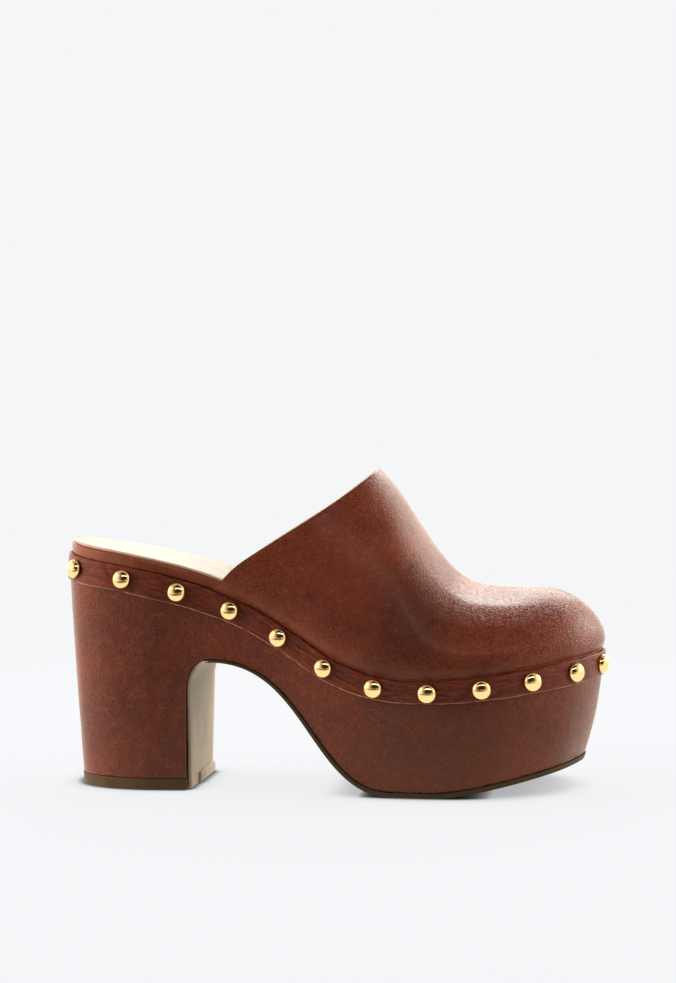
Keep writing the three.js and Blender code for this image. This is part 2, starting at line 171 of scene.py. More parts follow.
class Curve:
    """One column of a table, read smoothly through its rows."""

    steps = 2048

    def __init__(self, rows: Sequence[Any], key: str, by: str = "along") -> None:
        """Sample the column.

        Args:
            rows: The table, sorted by the column that it is read by.
            key: Name of the column to read.
            by: Name of the column that it is read by.
        """
        self.places = [getattr(row, by) for row in rows]
        self.heights = [getattr(row, key) for row in rows]
        self.low = self.places[0]
        self.scale = self.steps / (self.places[-1] - self.low)
        self.values = [self._exact(self.low + i / self.scale) for i in range(self.steps + 1)]

    def _slope(self, k: int) -> float:
        """Slope of the column at a row."""
        low, high = max(k - 1, 0), min(k + 1, len(self.places) - 1)
        return (self.heights[high] - self.heights[low]) / (self.places[high] - self.places[low])

    def _exact(self, at: float) -> float:
        """Value between two rows, on a curve that keeps both slopes."""
        i = min(max(bisect(self.places, at) - 1, 0), len(self.places) - 2)
        span = self.places[i + 1] - self.places[i]
        t = (at - self.places[i]) / span
        rest = 1 - t
        return (
            self.heights[i] * (1 + 2 * t) * rest * rest
            + self.heights[i + 1] * (3 - 2 * t) * t * t
            + span * t * rest * (self._slope(i) * rest - self._slope(i + 1) * t)
        )

    def __call__(self, at: float) -> float:
        """Value at a place, held to the table's ends."""
        where = (at - self.low) * self.scale
        if where <= 0:
            return self.values[0]
        if where >= self.steps:
            return self.values[-1]
        i = int(where)
        return self.values[i] + (self.values[i + 1] - self.values[i]) * (where - i)


EDGE_RISE = Curve(TOP_EDGE, "rise")
EDGE_BAND = Curve(TOP_EDGE, "band")
WALL_DRAW = Curve(WALL_LEAN, "draw")
WALL_BOW = Curve(WALL_LEAN, "bow")
WALL_CUP = Curve(WALL_LEAN, "cup")
RIDGE_HEIGHT = Curve(RIDGE, "height")
TOPLINE_ALONG = Curve(TOPLINE, "along", by="height")


class Place(NamedTuple):
    """Point of the plan outline and its outward direction."""

    x: float
    y: float
    nx: float
    ny: float


def between(low: float, high: float, share: float) -> float:
    """Value at a share of the way from low to high."""
    return low + (high - low) * share


def clamp(value: float, low: float = 0.0, high: float = 1.0) -> float:
    """Value held between low and high."""
    return min(max(value, low), high)


def soft_step(low: float, high: float, value: float) -> float:
    """Smooth rise from 0 at low to 1 at high."""
    t = clamp((value - low) / (high - low))
    return t * t * (3 - 2 * t)


def soft_rise(value: float, blend: float) -> float:
    """Nothing below zero and the value itself above it, with a corner soft over blend."""
    share = value / blend
    far = 30  # so far past the corner, the curve is the value itself
    return blend * (math.log(1 + math.exp(share)) if share < far else share)


@dataclass
class Last:
    """Form that every piece is built on: the platform's outline, edge and walls."""

    length: float = 234.5
    ball_width: float = 90
    seat_height: float = 99.5
    ball_height: float = 49.3
    end_draw: float = 6
    toe_tip_across: float = 0.04
    band_width: float = 10.2
    samples: int = 3000
    shift: Vector = field(default_factory=lambda: Vector((0, 0, 0)))

    def __post_init__(self) -> None:
        """Sample the outline and both walls' places by distance from the heel."""
        ring = self._ring()
        gaps = np.linalg.norm(np.roll(ring, -1, axis=0) - ring, axis=1)
        run = np.concatenate([[0.0], np.cumsum(gaps)])
        ahead = np.roll(ring, -1, axis=0) - np.roll(ring, 1, axis=0)
        ahead /= np.linalg.norm(ahead, axis=1)[:, None]
        rows = np.column_stack([ring, ahead[:, 1], -ahead[:, 0]])
        self.table = [Place(*map(float, row)) for row in [*rows, rows[0]]]
        self.share = [float(v) for v in run / run[-1]]
        tip = int(np.argmax(ring[:, 0]))
        self.tip_x = float(ring[tip, 0])
        self.toe_share = self.share[tip]
        self.halves = {Side.OUTER: self.table[: tip + 1], Side.INNER: self.table[tip:][::-1]}
        self.reads = {side: [at.x for at in half] for side, half in self.halves.items()}

    def _ring(self) -> np.ndarray:
        """Closed curve through the outline's points, as evenly read samples."""
        across = [(row.along, -row.lateral) for row in OUTLINE]
        back = [(row.along, row.medial) for row in reversed(OUTLINE)]
        shares = [(0.0, 0.0), *across, (1.0, self.toe_tip_across), *back]
        points = [np.array([a * self.length, b * self.ball_width]) for a, b in shares]
        count = len(points)
        steps = self.samples // count
        ring = []
        for i in range(count):
            p0, p1, p2, p3 = (points[(i + k) % count] for k in (-1, 0, 1, 2))
            pairs = ((p0, p1), (p1, p2), (p2, p3))
            d0, d1, d2 = (math.sqrt(np.linalg.norm(b - a)) for a, b in pairs)
            start = ((p1 - p0) / d0 - (p2 - p0) / (d0 + d1) + (p2 - p1) / d1) * d1
            end = ((p2 - p1) / d1 - (p3 - p1) / (d1 + d2) + (p3 - p2) / d2) * d1
            for k in range(steps):
                t = k / steps
                ring.append(
                    p1
                    + start * t
                    + (3 * (p2 - p1) - 2 * start - end) * t * t
                    + (2 * (p1 - p2) + start + end) * t * t * t
                )
        return np.array(ring)

    @staticmethod
    def _read(rows: Sequence[Place], keys: Sequence[float], at: float) -> Place:
        """Point between two rows of a table that is sorted by its keys."""
        i = min(max(bisect(keys, at) - 1, 0), len(keys) - 2)
        t = clamp((at - keys[i]) / max(keys[i + 1] - keys[i], 1e-9))
        return Place(*(a + (b - a) * t for a, b in zip(rows[i], rows[i + 1])))

    def at_share(self, share: float) -> Place:
        """Outline point at a share of the way round, from the heel along the outer side."""
        return self._read(self.table, self.share, share % 1.0)

    def at_x(self, x: float, side: Side) -> Place:
        """Outline point of one side at a distance from the heel."""
        return self._read(self.halves[side], self.reads[side], x)

    def top_edge(self, x: float) -> float:
        """Height of the platform's top edge."""
        return self.ball_height + (self.seat_height - self.ball_height) * EDGE_RISE(x / self.length)

    def wall(self, at: Place, z: float, out: float = 0.0) -> Vector:
        """Point of the platform's wall.

        Args:
            at: Point of the plan outline over or under it.
            z: Height over the floor.
            out: How far outside the wall it lies.

        Returns:
            The point, in the shoe's own millimetres.
        """
        along = at.x / self.length
        top = self.top_edge(at.x)
        depth = clamp(1 - z / top)
        draw = WALL_DRAW(along) * depth ** WALL_BOW(along)
        rise = clamp(1 - (top - z) / self.band_width)
        inset = self.end_draw * (draw + WALL_CUP(along) * rise) - out
        return Vector((at.x - at.nx * inset, at.y - at.ny * inset, z))

    def seat_in(self, low: Vector, high: Vector, own_low: Vector, own_high: Vector) -> None:
        """Find the shift that lays the shoe's own box on the frame's, both in millimetres."""
        self.shift = ((low + high) - (own_low + own_high)) / 2
        self.shift.z = 0.0

    def sections(self, start: float, end: float, count: int) -> list[float]:
        """Distances from the heel, evenly spread along the outer side of the outline.

        Args:
            start: First distance.
            end: Last distance.
            count: How many steps lie between them.

        Returns:
            The distances, count + 1 of them.
        """
        half = np.array(self.halves[Side.OUTER])
        steps = np.linalg.norm(np.diff(half[:, :2], axis=0), axis=1)
        runs = np.concatenate([[0.0], np.cumsum(steps)])
        low, high = np.interp([start, end], half[:, 0], runs)
        return [float(v) for v in np.interp(np.linspace(low, high, count + 1), runs, half[:, 0])]


# Finishes


def linear(colour: str) -> tuple[float, float, float, float]:
    """Turn an sRGB hex colour into linear light.

    Args:
        colour: Colour as #rrggbb.

    Returns:
        Red, green, blue and full alpha.
    """
    parts = [int(colour[i : i + 2], 16) / 255 for i in (1, 3, 5)]
    light = [p / 12.92 if p <= 0.04045 else ((p + 0.055) / 1.055) ** 2.4 for p in parts]
    return (light[0], light[1], light[2], 1.0)


def add_node(
    tree: bpy.types.NodeTree,
    kind: str,
    inputs: Optional[dict[Any, Any]] = None,
    **settings: Any,
) -> bpy.types.Node:
    """Add a node, set it up and link it.

    Args:
        tree: Node tree that the node goes into.
        kind: Blender's name of the node type.
        inputs: Values or output sockets for the node's inputs, by name or number.
        **settings: Properties of the node.

    Returns:
        The new node.
    """
    made = tree.nodes.new(kind)
    for name, value in settings.items():
        setattr(made, name, value)
    for name, value in (inputs or {}).items():
        if isinstance(value, bpy.types.NodeSocket):
            tree.links.new(value, made.inputs[name])
        else:
            made.inputs[name].default_value = value
    return made


def new_material(name: str) -> tuple[bpy.types.Material, bpy.types.NodeTree]:
    """Empty node material and its tree."""
    material = bpy.data.materials.new(name)
    material.use_nodes = True
    material.node_tree.nodes.clear()
    return material, material.node_tree


def millimetres(tree: bpy.types.NodeTree, scale: tuple[float, float, float] = (1, 1, 1)) -> Any:
    """Object coordinates in millimetres, stretched by scale, as a socket."""
    coords = add_node(tree, "ShaderNodeTexCoord")
    sizes = tuple(s / MM for s in scale)
    return add_node(
        tree, "ShaderNodeMapping", {"Vector": coords.outputs["Object"], "Scale": sizes}
    ).outputs["Vector"]


@dataclass(frozen=True)
class Leather:
    """Full-grain calf leather, dyed, waxed and burnished by hand.

    The dye lies unevenly, so the colour clouds from deep to warm brown. Under the wax the
    grain is a fine net of cells, which breaks up the edge of every highlight.
    """

    name: str
    deep: str
    mid: str
    warm: str
    cloud_mm: float
    cloud: float
    grain_mm: float
    grain_depth_mm: float
    roughness: float
    wax: float
    wax_roughness: float
    shine: float = 0.28
    glow: str = "#ffe9d6"  # the dyed wax tints what it mirrors head-on
    furrow: float = 0.18  # how much darker the furrows between the grain's pebbles are
    veined: float = 0.0  # how far the warm colour keeps to those furrows
    squash: float = 1.0  # how many times longer than high the pebbles are
    crinkle: float = 1.0  # how far the furrows wander
    run: float = 0.0  # how many times longer than wide a strip's streaks are
    shade: float = 0.0  # how much darker the painted-shade patches are
    shade_at: tuple[float, float, float] = (0, 0, 0)  # middle of the inner one, in mm
    shade_mm: float = 1.0  # how far they fade out

    def build(self) -> bpy.types.Material:
        """Make the material."""
        material, tree = new_material(self.name)
        place = millimetres(tree, (1, 1, self.squash))
        dyed_along = self._along_strip(tree) if self.run else millimetres(tree)
        fine = add_node(
            tree,
            "ShaderNodeTexNoise",
            {"Vector": dyed_along, "Scale": 7 / self.cloud_mm, "Detail": 6.0, "Roughness": 0.7},
        ).outputs["Fac"]
        pebble = self._pebble(tree, place)
        # the colour is darkened in patches of painted shade on each side
        colour = self._painted_shade(tree, self._dyed(tree, dyed_along, fine, pebble))
        pores = add_node(
            tree,
            "ShaderNodeTexNoise",
            {"Vector": place, "Scale": 2.6 / self.grain_mm, "Detail": 3.0, "Roughness": 0.6},
        )
        grain = add_node(
            tree, "ShaderNodeMath", {0: pores.outputs["Fac"], 1: 0.4, 2: pebble},
            operation="MULTIPLY_ADD",
        )
        relief = add_node(
            tree,
            "ShaderNodeBump",
            {"Height": grain.outputs["Value"], "Distance": self.grain_depth_mm * MM,
             "Strength": 1.0},
        )
        gloss = add_node(
            tree,
            "ShaderNodeMapRange",
            {"Value": fine, "From Min": 0.3, "From Max": 0.7,
             "To Min": self.roughness - 0.05, "To Max": self.roughness + 0.06},
        )
        shader = add_node(
            tree,
            "ShaderNodeBsdfPrincipled",
            {"Base Color": colour, "Roughness": gloss.outputs["Result"],
             "IOR": 1.48, "Specular IOR Level": self.shine,
             "Specular Tint": linear(self.glow), "Coat Weight": self.wax,
             "Coat Roughness": self.wax_roughness, "Coat IOR": 1.45,
             "Normal": relief.outputs["Normal"]},
        )
        add_node(tree, "ShaderNodeOutputMaterial", {"Surface": shader.outputs[0]})
        return material

    def _pebble(self, tree: bpy.types.NodeTree, place: Any) -> Any:
        """Height of the grain's pebbles, from 0 in a furrow to 1, as a socket."""
        bent = add_node(
            tree,
            "ShaderNodeTexNoise",
            {"Vector": place, "Scale": 0.9 / self.grain_mm, "Detail": 2.0},
        )
        wander = add_node(
            tree,
            "ShaderNodeVectorMath",
            {0: bent.outputs["Color"], 1: (self.crinkle * self.grain_mm,) * 3, 2: place},
            operation="MULTIPLY_ADD",
        )
        cells = add_node(
            tree,
            "ShaderNodeTexVoronoi",
            {"Vector": wander.outputs["Vector"], "Scale": 1 / self.grain_mm},
            feature="DISTANCE_TO_EDGE",
        )
        return add_node(
            tree,
            "ShaderNodeMapRange",
            {"Value": cells.outputs["Distance"], "From Max": 0.35},
            interpolation_type="SMOOTHSTEP",
        ).outputs["Result"]

    def _dyed(self, tree: bpy.types.NodeTree, place: Any, fine: Any, pebble: Any) -> Any:
        """Colour of the dyed leather.

        Args:
            tree: Node tree of the material.
            place: Socket of the place that the clouds follow.
            fine: Socket of the finer clouds.
            pebble: Socket of the pebbles' height.

        Returns:
            The colour's socket.
        """
        broad = add_node(
            tree,
            "ShaderNodeTexNoise",
            {"Vector": place, "Scale": 1 / self.cloud_mm, "Detail": 5.0, "Roughness": 0.58,
             "Distortion": 0.6},
        )
        depth = add_node(
            tree,
            "ShaderNodeMapRange",
            {"Value": broad.outputs["Fac"], "From Min": 0.34, "From Max": 0.66},
        )
        fleck = add_node(
            tree,
            "ShaderNodeMapRange",
            {"Value": fine, "From Min": 0.47, "From Max": 0.74, "To Max": self.cloud},
        )
        base = add_node(
            tree,
            "ShaderNodeMix",
            {"Factor": depth.outputs["Result"], "A": linear(self.deep), "B": linear(self.mid)},
            data_type="RGBA",
        )
        open_share = add_node(
            tree,
            "ShaderNodeMapRange",
            {"Value": pebble, "To Min": 1.0, "To Max": 1.0 - self.veined},
        )
        warmth = add_node(
            tree,
            "ShaderNodeMath",
            {0: fleck.outputs["Result"], 1: open_share.outputs["Result"]},
            operation="MULTIPLY",
        )
        dyed = add_node(
            tree,
            "ShaderNodeMix",
            {"Factor": warmth.outputs["Value"], "A": base.outputs["Result"],
             "B": linear(self.warm)},
            data_type="RGBA",
        )
        sunk = add_node(
            tree,
            "ShaderNodeMapRange",
            {"Value": pebble, "To Min": 1.0 - self.furrow, "To Max": 1.0 + self.furrow / 2},
        )
        return add_node(
            tree,
            "ShaderNodeMix",
            {"Factor": 1.0, "A": dyed.outputs["Result"], "B": sunk.outputs["Result"]},
            data_type="RGBA",
            blend_type="MULTIPLY",
        ).outputs["Result"]

    def _painted_shade(self, tree: bpy.types.NodeTree, colour: Any) -> Any:
        """Paint shade into the colour: darken it towards the middle of a patch on each side of the
        shoe.
        """
        if not self.shade:
            return colour
        coords = add_node(tree, "ShaderNodeTexCoord")
        parts = add_node(tree, "ShaderNodeSeparateXYZ", {0: coords.outputs["Object"]})
        aside = add_node(tree, "ShaderNodeMath", {0: parts.outputs["Y"]}, operation="ABSOLUTE")
        place = add_node(
            tree,
            "ShaderNodeCombineXYZ",
            {"X": parts.outputs["X"], "Y": aside.outputs["Value"], "Z": parts.outputs["Z"]},
        )
        middle = tuple(value * MM for value in self.shade_at)
        away = add_node(
            tree, "ShaderNodeVectorMath", {0: place.outputs["Vector"], 1: middle},
            operation="DISTANCE",
        )
        kept = add_node(
            tree,
            "ShaderNodeMapRange",
            {"Value": away.outputs["Value"], "From Max": self.shade_mm * MM,
             "To Min": 1 - self.shade},
            interpolation_type="SMOOTHSTEP",
        )
        return add_node(
            tree,
            "ShaderNodeMix",
            {"Factor": 1.0, "A": colour, "B": kept.outputs["Result"]},
            data_type="RGBA",
            blend_type="MULTIPLY",
        ).outputs["Result"]

    def _along_strip(self, tree: bpy.types.NodeTree) -> Any:
        """Place in millimetres, drawn out along a strip by its height over the strip's edge."""
        coords = add_node(tree, "ShaderNodeTexCoord")
        parts = add_node(tree, "ShaderNodeSeparateXYZ", {0: coords.outputs["Object"]})
        rise = add_node(tree, "ShaderNodeAttribute", attribute_name="rise")
        drawn = add_node(
            tree, "ShaderNodeMath", {0: rise.outputs["Fac"], 1: self.run * MM},
            operation="MULTIPLY",
        )
        joined = add_node(
            tree,
            "ShaderNodeCombineXYZ",
            {"X": parts.outputs["X"], "Y": parts.outputs["Y"], "Z": drawn.outputs["Value"]},
        )
        return add_node(
            tree,
            "ShaderNodeMapping",
            {"Vector": joined.outputs["Vector"], "Scale": (1 / MM,) * 3},
        ).outputs["Vector"]


@dataclass(frozen=True)
class Rubber:
    """Moulded rubber sheet, sanded at its edges.

    Fine talc and the sanding leave it matt, with a slightly streaked, dusty tone.
    """

    name: str
    dark: str
    light: str
    roughness: float
    speck_mm: float = 1.6
    stretch: tuple[float, float, float] = (1, 1, 1)
    shine: float = 0.5

    def build(self) -> bpy.types.Material:
        """Make the material."""
        material, tree = new_material(self.name)
        place = millimetres(tree, self.stretch)
        dust = add_node(
            tree,
            "ShaderNodeTexNoise",
            {"Vector": place, "Scale": 0.25 / self.speck_mm, "Detail": 5.0,
             "Roughness": 0.62},
        )
        tone = add_node(
            tree,
            "ShaderNodeMapRange",
            {"Value": dust.outputs["Fac"], "From Min": 0.3, "From Max": 0.7},
        )
        base = add_node(
            tree,
            "ShaderNodeMix",
            {"Factor": tone.outputs["Result"], "A": linear(self.dark), "B": linear(self.light)},
            data_type="RGBA",
        )
        tooth = add_node(
            tree,
            "ShaderNodeTexNoise",
            {"Vector": place, "Scale": 2 / self.speck_mm, "Detail": 3.0},
        )
        relief = add_node(
            tree,
            "ShaderNodeBump",
            {"Height": tooth.outputs["Fac"], "Distance": 0.06 * MM, "Strength": 1.0},
        )
        shader = add_node(
            tree,
            "ShaderNodeBsdfPrincipled",
            {"Base Color": base.outputs["Result"], "Roughness": self.roughness, "IOR": 1.5,
             "Specular IOR Level": self.shine, "Normal": relief.outputs["Normal"]},
        )
        add_node(tree, "ShaderNodeOutputMaterial", {"Surface": shader.outputs[0]})
        return material


@dataclass(frozen=True)
class PolishedBrass:
    """Brass nail head, pressed, polished and lacquered.

    The polish leaves faint swirls, which soften the mirror image a little.
    """

    name: str
    colour: str
    roughness: float

    def build(self) -> bpy.types.Material:
        """Make the material."""
        material, tree = new_material(self.name)
        place = millimetres(tree)
        swirl = add_node(
            tree,
            "ShaderNodeTexNoise",
            {"Vector": place, "Scale": 0.8, "Detail": 3.0, "Distortion": 1.5},
        )
        gloss = add_node(
            tree,
            "ShaderNodeMapRange",
            {"Value": swirl.outputs["Fac"], "From Min": 0.3, "From Max": 0.7,
             "To Min": self.roughness * 0.8, "To Max": self.roughness * 1.25},
        )
        relief = add_node(
            tree,
            "ShaderNodeBump",
            {"Height": swirl.outputs["Fac"], "Distance": 0.02 * MM, "Strength": 1.0},
        )
        shader = add_node(
            tree,
            "ShaderNodeBsdfPrincipled",
            {"Base Color": linear(self.colour), "Metallic": 1.0,
             "Roughness": gloss.outputs["Result"], "Normal": relief.outputs["Normal"]},
        )
        add_node(tree, "ShaderNodeOutputMaterial", {"Surface": shader.outputs[0]})
        return material


class Finish(Enum):
    """Finishes of the clog, by what they are."""

    UPPER = Leather(
        "burnished_calf", deep="#672212", mid="#80341a", warm="#a85c3c", cloud_mm=30, cloud=0.16,
        grain_mm=1.4, grain_depth_mm=0.11, roughness=0.23, wax=0.06, wax_roughness=0.16,
        shine=0.36, glow="#ffe0c8", furrow=0.34, squash=1.6,
        # painted shade: a darker patch on each side of the vamp
        shade=0.48, shade_at=(40, 44, 73), shade_mm=40,
    )
    WRAP = Leather(
        "waxed_cover_leather", deep="#4b1e18", mid="#602619", warm="#84442b", cloud_mm=26,
        cloud=0.55, grain_mm=1.5, grain_depth_mm=0.09, roughness=0.33, wax=0.08,
        wax_roughness=0.22, shine=0.36, glow="#ffd8b8", furrow=-0.28, veined=0.8, crinkle=2.4,
        # painted shade: a darker patch low on each side of the platform's front
        shade=0.24, shade_at=(40, 45, 22), shade_mm=70,
    )
    BAND = Leather(
        "band_leather", deep="#4a160b", mid="#702612", warm="#9c4c2c", cloud_mm=40, cloud=0.6,
        grain_mm=1.0, grain_depth_mm=0.06, roughness=0.38, wax=0.1, wax_roughness=0.3,
        shine=0.3, furrow=0.15, run=7,
    )
    RAW_EDGE = Leather(
        "cut_leather_edge", deep="#a86c58", mid="#c08a74", warm="#deb29e", cloud_mm=5, cloud=0.6,
        grain_mm=0.4, grain_depth_mm=0.03, roughness=0.7, wax=0.0, wax_roughness=0.4,
    )
    RIM = Leather(
        "rim_leather", deep="#6f301b", mid="#853e24", warm="#a55a36", cloud_mm=22, cloud=0.4,
        grain_mm=0.9, grain_depth_mm=0.04, roughness=0.36, wax=0.15, wax_roughness=0.25,
        shine=0.45, furrow=0.12,
    )
    SOCK = Leather(
        "cream_sock_leather", deep="#b2ac9e", mid="#bfb9ac", warm="#cdc8bd", cloud_mm=14,
        cloud=0.5, grain_mm=0.8, grain_depth_mm=0.03, roughness=0.6, wax=0.0, wax_roughness=0.4,
        furrow=0.05,
    )
    SOCK_EDGE = Leather(
        "sock_cut_edge", deep="#cb9c8b", mid="#d8b09f", warm="#e6c6b8", cloud_mm=6, cloud=0.5,
        grain_mm=0.4, grain_depth_mm=0.02, roughness=0.7, wax=0.0, wax_roughness=0.4,
    )
    OUTSOLE = Rubber(
        "taupe_rubber", dark="#2e2112", light="#42321a", roughness=0.6, shine=0.2
    )
    FLAP = Rubber(
        "sanded_rubber", dark="#ae9880", light="#cdb89f", roughness=0.55, speck_mm=2.4,
        stretch=(1, 1, 0.4),
    )
    LIFT = Rubber("heel_rubber", dark="#432e1a", light="#523c25", roughness=0.6, shine=0.25)
    STUD = PolishedBrass("polished_brass", colour="#ecc58e", roughness=0.09)


FINISHED: dict[Finish, bpy.types.Material] = {}


def finish_of(kind: Finish) -> bpy.types.Material:
    """Material of a finish, made once."""
    if kind not in FINISHED:
        FINISHED[kind] = kind.value.build()
    return FINISHED[kind]


# Mesh helpers


def wrapped_grid(
    columns: int, rows: int, place: Callable[[int, int], Vector]
) -> bmesh.types.BMesh:
    """Wrap a flat grid of faces over a shape, and close its seams and poles.

    Args:
        columns: Steps of the grid in its first direction.
        rows: Steps in its second direction.
        place: Gives the point of the shape, in mm, for a column and a row number.

    Returns:
        The mesh, in millimetres.
    """
    mesh = bmesh.new()
    bmesh.ops.create_grid(mesh, x_segments=columns, y_segments=rows, size=0.5)
    for vert in mesh.verts:
        i = round((vert.co.x + 0.5) * columns)
        j = round((vert.co.y + 0.5) * rows)
        vert.co = place(i, j)
    bmesh.ops.remove_doubles(mesh, verts=mesh.verts, dist=TOUCHING)
    bmesh.ops.dissolve_degenerate(mesh, edges=mesh.edges, dist=TOUCHING)
    return mesh


def part_of(row: int, parts: Sequence[int]) -> tuple[int, float]:
    """Part of a section that a row lies on.

    Args:
        row: Number of the row, counted through all the parts.
        parts: How many rows each part takes.

    Returns:
        Number of the part, and the share of the way along it.
    """
    part = 0
    while part < len(parts) - 1 and row > parts[part]:
        row -= parts[part]
        part += 1
    return part, row / parts[part]


def face_outwards(mesh: bmesh.types.BMesh) -> None:
    """Turn every face of a closed shell outwards, or the skin's highest face up."""
    bmesh.ops.recalc_face_normals(mesh, faces=mesh.faces)
    mesh.normal_update()
    top = max(mesh.faces, key=lambda face: face.calc_center_median().z)
    if top.normal.z < 0:
        bmesh.ops.reverse_faces(mesh, faces=mesh.faces)


def close_ends(mesh: bmesh.types.BMesh) -> None:
    """Fill a shell's open ends and turn its faces outwards."""
    rim = [e for e in mesh.edges if e.is_boundary]
    bmesh.ops.holes_fill(mesh, edges=rim, sides=0)
    face_outwards(mesh)


def round_edges(mesh: bmesh.types.BMesh, width: float, segments: int) -> None:
    """Round every sharp edge.

    Args:
        mesh: Closed mesh, in mm.
        width: Width of the rounding, in mm.
        segments: Steps across it.
    """
    mesh.normal_update()
    turn = math.radians(SHARP)
    sharp = [e for e in mesh.edges if e.is_manifold and e.calc_face_angle(0.0) > turn]
    bmesh.ops.bevel(
        mesh, geom=sharp, offset=width, offset_type="OFFSET", segments=segments, profile=0.5,
        affect="EDGES", material=-1, clamp_overlap=True,
    )


def press(mesh: bmesh.types.BMesh, depth: Callable[[Vector], float]) -> None:
    """Move each point along its normal.

    Args:
        mesh: Mesh to shape, in mm.
        depth: Gives how far a point moves outwards, in mm.
    """
    mesh.normal_update()
    moves = [(vert, vert.normal * depth(vert.co)) for vert in mesh.verts]
    for vert, move in moves:
        vert.co += move


class Wave(NamedTuple):
    """Unevenness that the hand leaves in a surface."""

    height: float  # in mm, outwards and inwards
    size: float  # mm over which it changes
    seed: float

    def at(self, point: Vector) -> float:
        """Height of the wave at a point."""
        start = Vector((self.seed, 2 * self.seed, 3 * self.seed))
        return self.height * noise.noise(point / self.size + start)


def ripple(mesh: bmesh.types.BMesh, waves: Sequence[Wave]) -> None:
    """Lay waves over a mesh."""
    press(mesh, lambda point: sum(wave.at(point) for wave in waves))


@dataclass
class Workshop:
    """Turns finished meshes into pieces of the shoe."""

    last: Last

    def piece(
        self,
        name: str,
        mesh: bmesh.types.BMesh,
        finishes: Sequence[Finish],
        slot: str,
        stands_for: Sequence[str] = (),
    ) -> bpy.types.Object:
        """Move a mesh into the frame and make it a piece that rides on the shoe.

        Args:
            name: Name of the piece.
            mesh: Its mesh, in the shoe's own millimetres. It is freed.
            finishes: Finishes, in the order of the faces' material numbers.
            slot: Name of a material slot; not used.
            stands_for: Solids that the piece replaces.

        Returns:
            The piece's object.
        """
        bmesh.ops.translate(mesh, vec=self.last.shift, verts=mesh.verts)
        bmesh.ops.scale(mesh, vec=(MM, MM, MM), verts=mesh.verts)
        for face in mesh.faces:
            face.smooth = True
        data = bpy.data.meshes.new(name)
        mesh.to_mesh(data)
        mesh.free()
        for kind in finishes:
            data.materials.append(finish_of(kind))
        made = bpy.data.objects.new(name, data)
        bpy.context.scene.collection.objects.link(made)
        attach(made, BODY)
        if stands_for:
            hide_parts(*stands_for)
        LOG.info("%s: %d faces", name, len(data.polygons))
        return made


# Sub-assemblies


class Bend(NamedTuple):
    """Bezier curve of the side view: its steps, and its corners as distance and height."""

    steps: int
    start: tuple[float, float]
    leaves: tuple[float, float]
    arrives: tuple[float, float]
    end: tuple[float, float]


